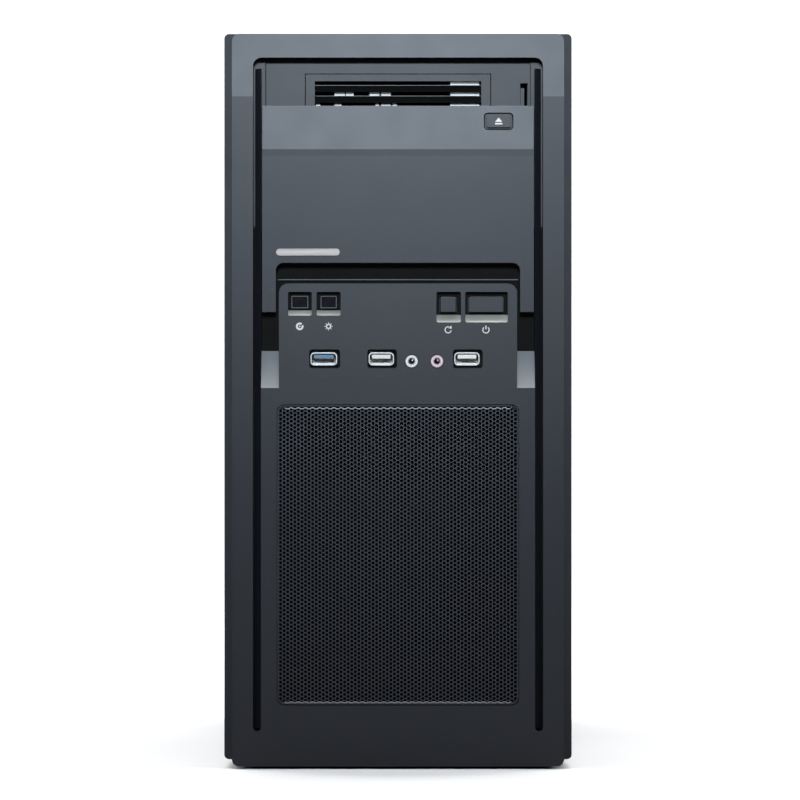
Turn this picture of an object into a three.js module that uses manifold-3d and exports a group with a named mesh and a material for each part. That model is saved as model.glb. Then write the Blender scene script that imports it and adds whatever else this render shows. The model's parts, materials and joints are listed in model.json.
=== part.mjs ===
// Desktop computer tower. Millimetres, +Z up, and the front faces -Y.
// The origin is on the floor under the middle.
import * as THREE from "three";
import { mergeVertices } from "three/addons/utils/BufferGeometryUtils.js";
import Module from "manifold-3d";

const wasm = await Module();
wasm.setup();

// ---- Driving dimensions ----
const WIDTH = 190.5;
const DEPTH = 432;
const BEZEL_HEIGHT = 401.3;
const BEZEL_GAP = 1.5; // the bezel hangs this far above the floor
const BEZEL_DEPTH = 44;
const SHEET = 1; // steel sheet
const SKIN = 2.5; // moulded wall
const GAP = 0.3; // between pieces that touch
const FOOT_HEIGHT = 7.7;

// ---- Levels that follow from them ----
const HALF = WIDTH / 2;
const FRONT = -DEPTH / 2;
const BACK = DEPTH / 2;
const BEZEL_BACK = FRONT + BEZEL_DEPTH;
const BEZEL_TOP = BEZEL_GAP + BEZEL_HEIGHT;
const BASE_Z = FOOT_HEIGHT + GAP;
const TOP_Z = BEZEL_TOP - 2.5;
const PANEL_OUTER_X = HALF - 0.85;
const PANEL_INNER_X = PANEL_OUTER_X - SHEET;
const FRAME_X = PANEL_INNER_X - 0.4;
const CHASSIS_FRONT = BEZEL_BACK + GAP;
const CHASSIS_REAR = BACK - 9.4; // outer face of the rear plate, which the thumbscrew heads stand out from
const REAR_INNER = CHASSIS_REAR - SHEET;
const TRAY_X = 84; // the face that the motherboard stands off

// ---- Front bezel layout, heights above the floor ----
const above = (height) => BEZEL_GAP + height;
const PLATE_X = 91; // half-width of the raised front plate
const PLATE_STEP = 5; // how far the plate stands out from the skirt
const OPENING_X = 79.4;
const OPENING_TOP = above(388.2);
const DOOR_X = 74.5;
const DOOR_TOP = above(361.9);
const DOOR_CREASE = above(338);
const ARCH_X = 66.8;
const ARCH_TOP = above(275.7);
const ARM_BOTTOM = above(248.8);
const BLOCK_X = 65.2;
const BLOCK_TOP = above(264.4);
const RAMP_TOP = above(227.5);
const PANEL_TOP = above(207.2); // where the lower panel starts
const GROOVE_BOTTOM = above(19.4);
const FRAME_CREASE = above(366.8);
const LEAN = 2.8; // how far the faces lean back above their creases
const PANEL_FACE = FRONT; // face of the lower panel and of the port block
const DOOR_FACE = FRONT + 1;
const RECESS_FACE = FRONT + 11.7; // wall behind the door
const RECESS_WALL = 2;
const GROOVE_DEPTH = 7;
const GROOVE_INNER_X = DOOR_X + 0.5;
const GROOVE_TOP = OPENING_TOP - 6;
const MESH_X = 66.1;
const MESH_LOW = above(33.7);
const MESH_HIGH = above(197.9);
const BAY_X = 72.6;
const BAY_HIGH = above(386);
const BAY_PITCH = 42.3;
const BAY_LOW = BAY_HIGH - 2 * BAY_PITCH;
const INSERT_X = 50.8;
const INSERT_HIGH = above(379.7);
const INSERT_LOW = INSERT_HIGH - 26.4;

// ---- Helpers: shapes ----
const ARC_STEPS = 2;

function rectangle(x0, x1, y0, y1, radius = 0) {
  const shape = new THREE.Shape();
  if (radius === 0) {
    shape.moveTo(x0, y0);
    shape.lineTo(x1, y0);
    shape.lineTo(x1, y1);
    shape.lineTo(x0, y1);
    return shape;
  }
  shape.moveTo(x0 + radius, y0);
  shape.lineTo(x1 - radius, y0);
  shape.absarc(x1 - radius, y0 + radius, radius, -Math.PI / 2, 0, false);
  shape.lineTo(x1, y1 - radius);
  shape.absarc(x1 - radius, y1 - radius, radius, 0, Math.PI / 2, false);
  shape.lineTo(x0 + radius, y1);
  shape.absarc(x0 + radius, y1 - radius, radius, Math.PI / 2, Math.PI, false);
  shape.lineTo(x0, y0 + radius);
  shape.absarc(x0 + radius, y0 + radius, radius, Math.PI, 1.5 * Math.PI, false);
  return shape;
}

function outline(points) {
  return new THREE.Shape(points.map(([x, y]) => new THREE.Vector2(x, y)));
}

// ---- Helpers: closed solids ----
function solidFrom(geometry) {
  const plain = geometry.clone();
  plain.deleteAttribute("normal");
  plain.deleteAttribute("uv");
  const merged = mergeVertices(plain, 1e-4);
  return new wasm.Manifold(
    new wasm.Mesh({
      numProp: 3,
      vertProperties: Float32Array.from(merged.attributes.position.array),
      triVerts: Uint32Array.from(merged.index.array),
    }),
  );
}

function geometryFrom(solid) {
  const mesh = solid.getMesh();
  const geometry = new THREE.BufferGeometry();
  geometry.setAttribute("position", new THREE.BufferAttribute(mesh.vertProperties, 3));
  geometry.setIndex(new THREE.BufferAttribute(mesh.triVerts, 1));
  geometry.computeVertexNormals();
  return geometry;
}

function extruded(shape, length, steps = ARC_STEPS) {
  return new THREE.ExtrudeGeometry(shape, { depth: length, bevelEnabled: false, curveSegments: steps });
}

// The two ends, in order, of a span in X given for the right side and mirrored for the left.
const span = (side, inner, outer) => (side < 0 ? [-outer, -inner] : [inner, outer]);

const join = (solids) => solids.reduce((sum, next) => sum.add(next));
const cut = (solid, cutters) => cutters.reduce((rest, next) => rest.subtract(next), solid);

function block(x0, x1, y0, y1, z0, z1) {
  const box = new THREE.BoxGeometry(x1 - x0, y1 - y0, z1 - z0);
  box.translate((x0 + x1) / 2, (y0 + y1) / 2, (z0 + z1) / 2);
  return solidFrom(box);
}

// A shape drawn in X and Z, solid from y0 to y1.
function alongY(shape, y0, y1, steps) {
  const geometry = extruded(shape, y1 - y0, steps);
  geometry.rotateX(Math.PI / 2);
  geometry.translate(0, y1, 0);
  return solidFrom(geometry);
}

// A shape drawn in Y and Z, solid from x0 to x1.
function alongX(shape, x0, x1, steps) {
  const geometry = extruded(shape, x1 - x0, steps);
  const turn = new THREE.Matrix4().makeBasis(
    new THREE.Vector3(0, 1, 0),
    new THREE.Vector3(0, 0, 1),
    new THREE.Vector3(1, 0, 0),
  );
  geometry.applyMatrix4(turn);
  geometry.translate(x0, 0, 0);
  return solidFrom(geometry);
}

// A shape drawn in X and Y, solid from z0 to z1.
function alongZ(shape, z0, z1, steps) {
  const geometry = extruded(shape, z1 - z0, steps);
  geometry.translate(0, 0, z0);
  return solidFrom(geometry);
}

const plate = (x0, x1, z0, z1, radius, y0, y1) => alongY(rectangle(x0, x1, z0, z1, radius), y0, y1);

function rodY(x, z, radius, y0, y1, sides = 24) {
  const rod = new THREE.CylinderGeometry(radius, radius, y1 - y0, sides);
  rod.translate(x, (y0 + y1) / 2, z);
  return solidFrom(rod);
}

function rodX(y, z, radius, x0, x1, sides = 24) {
  const rod = new THREE.CylinderGeometry(radius, radius, x1 - x0, sides);
  rod.rotateZ(Math.PI / 2);
  rod.translate((x0 + x1) / 2, y, z);
  return solidFrom(rod);
}

function rodZ(x, y, radius, z0, z1, sides = 24, lowRadius = radius) {
  const rod = new THREE.CylinderGeometry(radius, lowRadius, z1 - z0, sides);
  rod.rotateX(Math.PI / 2);
  rod.translate(x, y, (z0 + z1) / 2);
  return solidFrom(rod);
}

// A wedge whose section in Y and Z is given by points.
const wedge = (points, x0, x1) => alongX(outline(points), x0, x1);

// ---- The group that everything joins ----
const tower = new THREE.Group();

function addPiece(name, solid, color, roughness = 0.6, metalness = 0) {
  const material = new THREE.MeshStandardMaterial({ color, roughness, metalness });
  const mesh = new THREE.Mesh(geometryFrom(solid), material);
  mesh.name = name;
  tower.add(mesh);
}

const BLACK_PLASTIC = 0x2b2d33;
const DARK_PLASTIC = 0x17181b;
const PAINTED_STEEL = 0x1d1e21;
const BARE_STEEL = 0xb4b8bc;

// ---- Front bezel ----
const IO_HOLES = []; // cutters that pass through the port block, filled as each port and button is made
const BLOCK_BACK = PANEL_FACE + SKIN;

function bezelShell() {
  const skirt = plate(-HALF, HALF, above(3.6), BEZEL_TOP, 2.5, FRONT + PLATE_STEP, BEZEL_BACK);
  const face = plate(-PLATE_X, PLATE_X, BEZEL_GAP, BEZEL_TOP, 4, FRONT, BEZEL_BACK);
  const leanCutter = wedge(
    [[FRONT - 1, FRAME_CREASE], [FRONT, FRAME_CREASE], [FRONT + LEAN, BEZEL_TOP + 1],
      [FRONT - 1, BEZEL_TOP + 1]],
    -HALF, HALF,
  );
  const [low, high] = [above(3.6) + SKIN, BEZEL_TOP - SKIN];
  const hollow = block(-HALF + SKIN, HALF - SKIN, FRONT + PLATE_STEP + 4, BEZEL_BACK + 1, low, high);
  const sideHollow = (side) => {
    const [x0, x1] = span(side, OPENING_X + SKIN, PLATE_X - SKIN);
    return block(x0, x1, FRONT + LEAN + SKIN, FRONT + PLATE_STEP + 5, low, high);
  };
  const lowHollow = block(
    -DOOR_X + SKIN, DOOR_X - SKIN, BLOCK_BACK, FRONT + PLATE_STEP + 5, low, PANEL_TOP - 1,
  );
  return cut(join([skirt, face]), [leanCutter, hollow, sideHollow(-1), sideHollow(1), lowHollow]);
}

// The wall behind the door, with its two drive bays and the slots that guide the door's lugs.
const LUG_X = 70.5;
const LUG_WIDTH = 1.6;
const LUG_HOOK = 3.5; // how far each lug's hook reaches outwards behind the wall
const LUG_REACH = 2.4;
const DOOR_UP = 23.5;
const DOOR_DOWN = 10.5;
const LUG_LOW = above(262);
const LUG_HIGH = above(272);
const BAY_CLEAR = 0.3;

function recessWall() {
  const wall = block(
    -OPENING_X - 1, OPENING_X + 1, RECESS_FACE, RECESS_FACE + RECESS_WALL, PANEL_TOP - 2, OPENING_TOP + 2,
  );
  const bays = block(
    -BAY_X - BAY_CLEAR, BAY_X + BAY_CLEAR, RECESS_FACE - 1, RECESS_FACE + RECESS_WALL + 1,
    BAY_LOW, BAY_HIGH,
  );
  const slots = [-LUG_X, LUG_X].map((x) =>
    block(
      x - LUG_WIDTH / 2 - 0.5, x + LUG_WIDTH / 2 + 0.5, RECESS_FACE - 1, RECESS_FACE + RECESS_WALL + 1,
      LUG_LOW - DOOR_DOWN - 0.5, LUG_HIGH + DOOR_UP + 0.5,
    ),
  );
  const blockHollow = block(
    -BLOCK_X + SKIN, BLOCK_X - SKIN, RECESS_FACE - 1, RECESS_FACE + RECESS_WALL + 1,
    PANEL_TOP - 3, BLOCK_TOP - SKIN,
  );
  return cut(wall, [bays, ...slots, blockHollow]);
}

// The raised block that holds the ports, one surface with the lower panel, and the ramps beside it.
function portBlock() {
  const corner = 5;
  const body = plate(
    -BLOCK_X, BLOCK_X, PANEL_TOP - corner, BLOCK_TOP, corner, PANEL_FACE, RECESS_FACE + 0.5,
  );
  const hollow = block(
    -BLOCK_X + SKIN, BLOCK_X - SKIN, BLOCK_BACK, RECESS_FACE + 2, PANEL_TOP - 6, BLOCK_TOP - SKIN,
  );
  return body.subtract(hollow);
}

function ramp(side) {
  return wedge(
    [[PANEL_FACE, PANEL_TOP - 2], [RECESS_FACE + 0.5, PANEL_TOP - 2], [RECESS_FACE + 0.5, RAMP_TOP],
      [RECESS_FACE - 1, RAMP_TOP], [PANEL_FACE, PANEL_TOP]],
    ...span(side, BLOCK_X - 0.5, OPENING_X + 1),
  );
}

function lowerPanel() {
  const sheet = block(
    -OPENING_X - 1, OPENING_X + 1, PANEL_FACE, BLOCK_BACK, GROOVE_BOTTOM - 5, PANEL_TOP,
  );
  const grooveFloors = [-1, 1].map((side) => {
    const [x0, x1] = span(side, GROOVE_INNER_X - SKIN, OPENING_X + SKIN);
    return block(x0, x1, PANEL_FACE, FRONT + GROOVE_DEPTH + SKIN, GROOVE_BOTTOM - SKIN, PANEL_TOP - 1);
  });
  return join([sheet, ...grooveFloors]);
}

// The inner side of each groove slopes down towards its outer wall.
function grooveSlope(side) {
  const high = FRONT + 2.2;
  const low = FRONT + 5.4;
  const back = RECESS_FACE + 0.5;
  const [inner, outer] = [side * GROOVE_INNER_X, side * (OPENING_X - 1.1)];
  const section = outline([[inner, high], [outer, low], [outer, back], [inner, back]]);
  return alongZ(section, GROOVE_BOTTOM + 1, GROOVE_TOP);
}

function frontBezel() {
  const opening = plate(
    -OPENING_X, OPENING_X, GROOVE_BOTTOM - 20, OPENING_TOP, 4.5, FRONT - 2, RECESS_FACE + RECESS_WALL,
  );
  const openingCut = opening.intersect(
    block(-HALF, HALF, FRONT - 3, BEZEL_BACK, PANEL_TOP - 1, BEZEL_TOP),
  );
  const grooves = [-1, 1].map((side) => {
    const [x0, x1] = span(side, GROOVE_INNER_X, OPENING_X);
    const trench = plate(x0, x1, GROOVE_BOTTOM, GROOVE_TOP, 2, FRONT - 1, FRONT + GROOVE_DEPTH);
    return trench.add(block(x0, x1, FRONT - 1, RECESS_FACE, PANEL_TOP - 1, RAMP_TOP + 1));
  });
  const meshHole = plate(
    -MESH_X - GAP, MESH_X + GAP, MESH_LOW - GAP, MESH_HIGH + GAP, 4.3, FRONT - 1, BLOCK_BACK + 5,
  );
  const meshRebate = block(
    -MESH_X - 3.4, MESH_X + 3.4, BLOCK_BACK, BLOCK_BACK + 8, MESH_LOW - 3.4, MESH_HIGH + 3.4,
  );
  const openingWalls = block(
    -OPENING_X - SKIN, OPENING_X + SKIN, FRONT + LEAN + 1, RECESS_FACE + RECESS_WALL, PANEL_TOP - 3,
    OPENING_TOP + SKIN,
  );
  const shell = cut(join([bezelShell(), openingWalls]), [openingCut]);
  const whole = join([shell, recessWall(), portBlock(), ramp(-1), ramp(1), lowerPanel(), ...IO_BACKINGS]);
  const grooved = join([cut(whole, grooves), grooveSlope(-1), grooveSlope(1)]);
  return cut(grooved, [meshRebate, meshHole, ...IO_HOLES]);
}

// ---- Sliding door ----
const DOOR_DEPTH = 8;
const DOOR_WALL = 2.2;
const CREASE_BAND = 3.6; // height of the soft band at the crease
const CREASE_LEAN = 0.8; // how far the band leans back
const ARCH_RADIUS = 3.8;
const EJECT = { x0: 48.6, x1: 61.7, z0: above(350), z1: above(356.6), ring: 1.4 };

// A panel with two arms that reach down beside the port block.
function doorOutline() {
  const shape = new THREE.Shape();
  shape.moveTo(-DOOR_X, ARM_BOTTOM);
  shape.lineTo(-ARCH_X, ARM_BOTTOM);
  shape.lineTo(-ARCH_X, ARCH_TOP - ARCH_RADIUS);
  shape.absarc(-ARCH_X + ARCH_RADIUS, ARCH_TOP - ARCH_RADIUS, ARCH_RADIUS, Math.PI, Math.PI / 2, true);
  shape.lineTo(ARCH_X - ARCH_RADIUS, ARCH_TOP);
  shape.absarc(ARCH_X - ARCH_RADIUS, ARCH_TOP - ARCH_RADIUS, ARCH_RADIUS, Math.PI / 2, 0, true);
  shape.lineTo(ARCH_X, ARM_BOTTOM);
  shape.lineTo(DOOR_X, ARM_BOTTOM);
  shape.lineTo(DOOR_X, DOOR_TOP);
  shape.lineTo(-DOOR_X, DOOR_TOP);
  return shape;
}

function slidingDoor() {
  const face = DOOR_FACE;
  const body = alongY(doorOutline(), face, face + DOOR_DEPTH);
  const leaning = wedge(
    [[face - 1, DOOR_CREASE - CREASE_BAND], [face, DOOR_CREASE - CREASE_BAND],
      [face + CREASE_LEAN, DOOR_CREASE], [face + LEAN, DOOR_TOP], [face + LEAN, DOOR_TOP + 1],
      [face - 1, DOOR_TOP + 1]],
    -HALF, HALF,
  );
  const hollow = block(
    -DOOR_X + DOOR_WALL, DOOR_X - DOOR_WALL, face + DOOR_WALL + LEAN, face + DOOR_DEPTH + 1,
    ARCH_TOP + DOOR_WALL, DOOR_TOP - DOOR_WALL,
  );
  const ejectHole = plate(
    EJECT.x0 - EJECT.ring, EJECT.x1 + EJECT.ring, EJECT.z0 - EJECT.ring, EJECT.z1 + EJECT.ring, 2,
    face - 1, face + DOOR_DEPTH + 1,
  );
  const lugs = [-1, 1].map((side) => {
    const back = RECESS_FACE + RECESS_WALL;
    const stem = block(
      side * LUG_X - LUG_WIDTH / 2, side * LUG_X + LUG_WIDTH / 2, face + DOOR_DEPTH - 1, back + LUG_REACH,
      LUG_LOW, LUG_HIGH,
    );
    const [x0, x1] = span(side, LUG_X - LUG_WIDTH / 2, LUG_X + LUG_HOOK);
    return stem.add(block(x0, x1, back + 0.8, back + LUG_REACH, LUG_LOW, LUG_HIGH));
  });
  return join([cut(body, [leaning, hollow, ejectHole]), ...lugs]);
}

function ejectButton() {
  const face = DOOR_FACE + 1.3;
  const cap = plate(EJECT.x0, EJECT.x1, EJECT.z0, EJECT.z1, 1, face, face + 4.5);
  const flange = plate(
    EJECT.x0 - 0.9, EJECT.x1 + 0.9, EJECT.z0 - 0.9, EJECT.z1 + 0.9, 1.4, face + 2.2, face + 3.2,
  );
  return cap.add(flange);
}

function doorBadge() {
  const face = DOOR_FACE - 0.75;
  return plate(-66.8, -31.8, above(279.6), above(283.5), 1.9, face, face + 0.45);
}

// ---- Drive bay covers ----
const COVER_FACE = RECESS_FACE + 0.4;
const COVER_SKIN = 2;
const LATCH = { x0: 67.3, x1: 71.4, drop: 11 };

function bayCover(low, high) {
  const front = plate(-BAY_X, BAY_X, low, high, 0, COVER_FACE, COVER_FACE + COVER_SKIN);
  const rim = cut(
    plate(-BAY_X, BAY_X, low, high, 0, COVER_FACE + COVER_SKIN, COVER_FACE + 9),
    [block(-BAY_X + 1.6, BAY_X - 1.6, COVER_FACE, COVER_FACE + 12, low + 1.6, high - 1.6)],
  );
  return front.add(rim);
}

function upperBayCover() {
  const low = BAY_HIGH - BAY_PITCH + GAP;
  const high = BAY_HIGH - GAP;
  const window = block(
    -INSERT_X - GAP, INSERT_X + GAP, COVER_FACE - 1, COVER_FACE + 3, INSERT_LOW - GAP, INSERT_HIGH + GAP,
  );
  const slot = block(LATCH.x0, LATCH.x1, COVER_FACE - 1, COVER_FACE + 3, low + 4, high - LATCH.drop);
  const tab = block(
    LATCH.x0 - 1, LATCH.x0 + 2.2, COVER_FACE + 0.6, COVER_FACE + 1.8, low + 3, high - LATCH.drop - 2.5,
  );
  return cut(bayCover(low, high), [window, slot]).add(tab);
}

const lowerBayCover = () => bayCover(BAY_LOW + GAP, BAY_HIGH - BAY_PITCH - GAP);

const LOUVRE = { halfWidth: 45.7, high: above(375.9), pitch: 5.85, slat: 3.9 };

function louvreInsert() {
  const front = plate(-INSERT_X, INSERT_X, INSERT_LOW, INSERT_HIGH, 0, COVER_FACE, COVER_FACE + 8);
  const low = LOUVRE.high - 3 * LOUVRE.pitch;
  const hollow = block(
    -INSERT_X + 1.5, INSERT_X - 1.5, COVER_FACE + COVER_SKIN, COVER_FACE + 10,
    INSERT_LOW + 1.5, INSERT_HIGH - 1.5,
  );
  const window = block(
    -LOUVRE.halfWidth, LOUVRE.halfWidth, COVER_FACE - 1, COVER_FACE + 4, low, LOUVRE.high,
  );
  const slats = [0, 1, 2].map((row) => {
    const top = LOUVRE.high - row * LOUVRE.pitch - (LOUVRE.pitch - LOUVRE.slat);
    return wedge(
      [[COVER_FACE + 0.6, top - LOUVRE.slat], [COVER_FACE + 1.8, top - LOUVRE.slat],
        [COVER_FACE + 4.4, top], [COVER_FACE + 3.2, top]],
      -LOUVRE.halfWidth - 1, LOUVRE.halfWidth + 1,
    );
  });
  return join([cut(front, [hollow, window]), ...slats]);
}

// ---- Intake mesh and its filter ----
function frontMesh() {
  const flange = MESH_X + 2.9;
  const depth = 2.6;
  const face = PANEL_FACE + 0.6;
  const body = plate(-MESH_X, MESH_X, MESH_LOW, MESH_HIGH, 4, face, face + depth);
  const rim = plate(
    -flange, flange, MESH_LOW - 2.9, MESH_HIGH + 2.9, 5, BLOCK_BACK + GAP, BLOCK_BACK + GAP + 1,
  );
  const pocket = plate(
    -MESH_X + 1.2, MESH_X - 1.2, MESH_LOW + 1.2, MESH_HIGH - 1.2, 3, face + 0.8, BLOCK_BACK + 5,
  );
  return cut(join([body, rim]), [pocket]);
}

function dustFilter() {
  const face = BLOCK_BACK + GAP + 1 + GAP;
  return plate(-MESH_X - 1, MESH_X + 1, MESH_LOW - 1, MESH_HIGH + 1, 3, face, face + 3);
}

// ---- Buttons, indicator windows and ports in the block ----
const CAVITY_LOW = above(243.1);
const CAVITY_HIGH = above(259.8);
const BUTTON_LOW = above(248.8);
const BUTTON_HIGH = above(257.2);
const CAVITY_FLOOR = PANEL_FACE + 4.5;
const BUTTON_FACE = PANEL_FACE + 0.5;
const BUTTON_DEPTH = 8;

// A bevelled recess in the block's face, with a sill that slopes up towards the front at its foot.
function cavity(x0, x1, low, high, sill) {
  const hole = plate(x0, x1, low, high, 1, PANEL_FACE - 1, CAVITY_FLOOR);
  const slope = wedge(
    [[PANEL_FACE, low - 0.5], [CAVITY_FLOOR + 1, low - 0.5], [CAVITY_FLOOR + 1, sill]],
    x0 - 1, x1 + 1,
  );
  return hole.subtract(slope);
}

// The block is thicker behind each cavity, so that the cavity has a floor.
function cavityBacking(x0, x1, low, high) {
  return block(x0 - 1.5, x1 + 1.5, BLOCK_BACK - 0.5, CAVITY_FLOOR + 1.5, low - 1.5, high + 1.5);
}

const BUTTONS = {
  reset_button: { x0: 23.1, x1: 31.8, c0: 21.0, c1: 34.5 },
  power_button: { x0: 38.8, x1: 57.5, c0: 36.8, c1: 60.1 },
};
const LED_WINDOWS = {
  drive_led_window: { x0: -58.3, x1: -49.3, c0: -60.2, c1: -47.2 },
  power_led_window: { x0: -42.3, x1: -33.7, c0: -44.6, c1: -31.4 },
};
const WINDOW_LOW = above(251);
const WINDOW_HIGH = above(257.6);
const LED_LOW = above(246.8);

function buttonPiece({ x0, x1 }) {
  const cap = plate(x0, x1, BUTTON_LOW, BUTTON_HIGH, 0.8, BUTTON_FACE, BUTTON_FACE + BUTTON_DEPTH);
  const stop = CAVITY_FLOOR + 1.5 + 2;
  const rim = 1.4;
  const flange = plate(
    x0 - rim, x1 + rim, BUTTON_LOW - rim, BUTTON_HIGH + rim, 1, stop - 1.5, BUTTON_FACE + BUTTON_DEPTH,
  );
  return cap.add(flange);
}

function windowPiece({ x0, x1 }) {
  return plate(x0, x1, WINDOW_LOW, WINDOW_HIGH, 0.6, CAVITY_FLOOR - 1.4, CAVITY_FLOOR + 3);
}

const USB_PORTS = {
  usb3_port: { x: -40.6, width: 15 },
  usb2_port_left: { x: -9.15, width: 14.3 },
  usb2_port_right: { x: 37.75, width: 14.3 },
};
const USB_Z = above(223.1);
const USB_HALF_HEIGHT = 3.8;
const USB_WALL = 0.7;
const USB_LENGTH = 15;
const PORT_FACE = PANEL_FACE + 1;

function usbPort({ x, width }) {
  const half = width / 2;
  const back = PORT_FACE + USB_LENGTH;
  const shell = plate(
    x - half, x + half, USB_Z - USB_HALF_HEIGHT, USB_Z + USB_HALF_HEIGHT, 1.2, PORT_FACE, back,
  );
  const socket = plate(
    x - half + USB_WALL, x + half - USB_WALL, USB_Z - USB_HALF_HEIGHT + USB_WALL,
    USB_Z + USB_HALF_HEIGHT - USB_WALL, 0.5, PORT_FACE - 1, back - 1.5,
  );
  const tongue = block(x - half + 1.9, x + half - 1.9, PORT_FACE + 0.8, back - 1, USB_Z + 0.4, USB_Z + 2.3);
  return shell.subtract(socket).add(tongue);
}

// Each USB shell stands in a recess a little wider than itself, with a bevel along its foot.
const USB_RECESS = { left: 0.5, right: 1.45, margin: 1.4, depth: 2.4, backing: 1.5, radius: 1.6 };

function usbRecess({ x, width }) {
  const floor = PANEL_FACE + USB_RECESS.depth;
  const x0 = x - width / 2 - USB_RECESS.left;
  const x1 = x + width / 2 + USB_RECESS.right;
  const low = USB_Z - USB_HALF_HEIGHT - USB_RECESS.margin;
  const high = USB_Z + USB_HALF_HEIGHT + USB_RECESS.margin;
  const hole = plate(x0, x1, low, high, USB_RECESS.radius, PANEL_FACE - 1, floor);
  const bevel = wedge(
    [[PANEL_FACE, low], [PANEL_FACE, low - 1], [floor + 1, low - 1], [floor + 1, low + USB_RECESS.margin]],
    x0 - 1, x1 + 1,
  );
  const backing = block(
    x0 - 1, x1 + 1, BLOCK_BACK - 0.5, floor + USB_RECESS.backing, low - 1, high + 1,
  );
  return { hole: hole.subtract(bevel), backing };
}

const JACKS = { headphone_jack: 7.5, microphone_jack: 21.4 };
const JACK_Z = above(221.8);
const JACK_RADIUS = 3.5;
const JACK_BORE = 1.8;

function audioJack(x) {
  const collar = rodY(x, JACK_Z, JACK_RADIUS, PORT_FACE, PORT_FACE + 4);
  const back = block(x - 4.2, x + 4.2, PORT_FACE + 3.5, PORT_FACE + USB_LENGTH, JACK_Z - 4, JACK_Z + 4);
  const bore = rodY(x, JACK_Z, JACK_BORE, PORT_FACE - 1, PORT_FACE + USB_LENGTH - 2);
  return collar.add(back).subtract(bore);
}

const IO_BACKINGS = [];

function reserveBlockOpenings() {
  for (const { x0, x1, c0, c1 } of Object.values(BUTTONS)) {
    IO_BACKINGS.push(cavityBacking(c0, c1, CAVITY_LOW, CAVITY_HIGH));
    IO_HOLES.push(cavity(c0, c1, CAVITY_LOW, CAVITY_HIGH, BUTTON_LOW - 0.5));
    IO_HOLES.push(
      plate(x0 - 0.5, x1 + 0.5, BUTTON_LOW - 0.5, BUTTON_HIGH + 0.5, 1, PANEL_FACE, BLOCK_BACK + 6),
    );
  }
  for (const { x0, x1, c0, c1 } of Object.values(LED_WINDOWS)) {
    IO_BACKINGS.push(cavityBacking(c0, c1, LED_LOW, CAVITY_HIGH));
    IO_HOLES.push(cavity(c0, c1, LED_LOW, CAVITY_HIGH, WINDOW_LOW - 0.5));
    IO_HOLES.push(
      plate(x0 - GAP, x1 + GAP, WINDOW_LOW - GAP, WINDOW_HIGH + GAP, 0.8, PANEL_FACE, BLOCK_BACK + 6),
    );
  }
  for (const port of Object.values(USB_PORTS)) {
    const { hole, backing } = usbRecess(port);
    const half = port.width / 2 + GAP;
    const high = USB_HALF_HEIGHT + GAP;
    IO_BACKINGS.push(backing);
    IO_HOLES.push(hole);
    IO_HOLES.push(
      plate(port.x - half, port.x + half, USB_Z - high, USB_Z + high, 1, PANEL_FACE - 1, BLOCK_BACK + 3),
    );
  }
  for (const x of Object.values(JACKS)) {
    IO_HOLES.push(rodY(x, JACK_Z, JACK_RADIUS + GAP, PANEL_FACE - 1, BLOCK_BACK + 1));
  }
}

const IO_BOARD_FACE = PORT_FACE + USB_LENGTH + GAP;

function frontIoBoard() {
  const board = block(-56, 56, IO_BOARD_FACE, IO_BOARD_FACE + 1.6, above(212), above(262));
  const header = block(-20, 6, IO_BOARD_FACE + 1.6, IO_BOARD_FACE + 8, above(236), above(244));
  return board.add(header);
}

// ---- Chassis sheets ----
const BAY_CAGE_X = 73.6;
const CAGE_REAR = CHASSIS_FRONT + 165;
const CAGE_Z = BAY_LOW + 3.5; // the floor under the two large bays
const CAGE_LOW = CAGE_Z - 100;
const LEDGE = 5; // ledges that the drives slide along
const LEDGE_PITCH = 32;
const DRIVE_WALL_X = 51.8;
const DRIVE = {
  halfWidth: 50.8, height: 26.1, length: 147, rim: 8,
  lidX: 46, lidRear: 112, lidDrop: 1, boardX: 42, boardDrop: 5,
};
const DRIVE_Z = CAGE_LOW + LEDGE_PITCH + SHEET + GAP;
const DRIVE_Y = CHASSIS_FRONT + 3;
const FLANGE = 12; // height of the folded edges of the base and top sheets
const SCREW_HEIGHTS = [above(60), above(330)];
const SCREW_X = 85;
const FAN = 120;
const FAN_DEPTH = 25;
const FAN_OPENING = 56;
const FRONT_FAN_Z = 132;
const FRONT_FAN_X = -4;
const PSU = { halfWidth: 75, height: 86, depth: 140, bottom: TOP_Z - SHEET - 1 - 86 };
const REAR_FAN = { x: -30, z: 240 };
const SHIELD = { x0: 32.8, x1: 77.2, z0: PSU.bottom - 163, z1: PSU.bottom - 4.3, lap: 1.5, thick: 0.5 };
const SLOT_COUNT = 6;
const SLOT_PITCH = 20.32;
const SLOT_TOP = SHIELD.z0 - 11.5;
const SLOT_X0 = -34;
const SLOT_X1 = 72;
const SLOT_HALF = 6.5;
const slotZ = (index) => SLOT_TOP - index * SLOT_PITCH;

function chassisBase() {
  const sheet = block(-FRAME_X, FRAME_X, CHASSIS_FRONT, CHASSIS_REAR, BASE_Z, BASE_Z + SHEET);
  const flanges = [-1, 1].map((side) => {
    const [x0, x1] = span(side, FRAME_X - SHEET, FRAME_X);
    return block(x0, x1, CHASSIS_FRONT + 2, CHASSIS_REAR - 2, BASE_Z, BASE_Z + FLANGE);
  });
  return join([sheet, ...flanges]);
}

function chassisTop() {
  const sheet = block(
    -PANEL_OUTER_X + 0.2, PANEL_OUTER_X - 0.2, CHASSIS_FRONT, CHASSIS_REAR, TOP_Z - SHEET, TOP_Z,
  );
  const flanges = [-1, 1].map((side) => {
    const [x0, x1] = span(side, FRAME_X - SHEET, FRAME_X);
    return block(x0, x1, CHASSIS_FRONT + 2, CHASSIS_REAR - 2, TOP_Z - FLANGE, TOP_Z - SHEET / 2);
  });
  return join([sheet, ...flanges]);
}

const WALL_LOW = BASE_Z + SHEET + GAP;
const WALL_HIGH = TOP_Z - SHEET - GAP;
const WALL_X = FRAME_X - SHEET - GAP;

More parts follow.
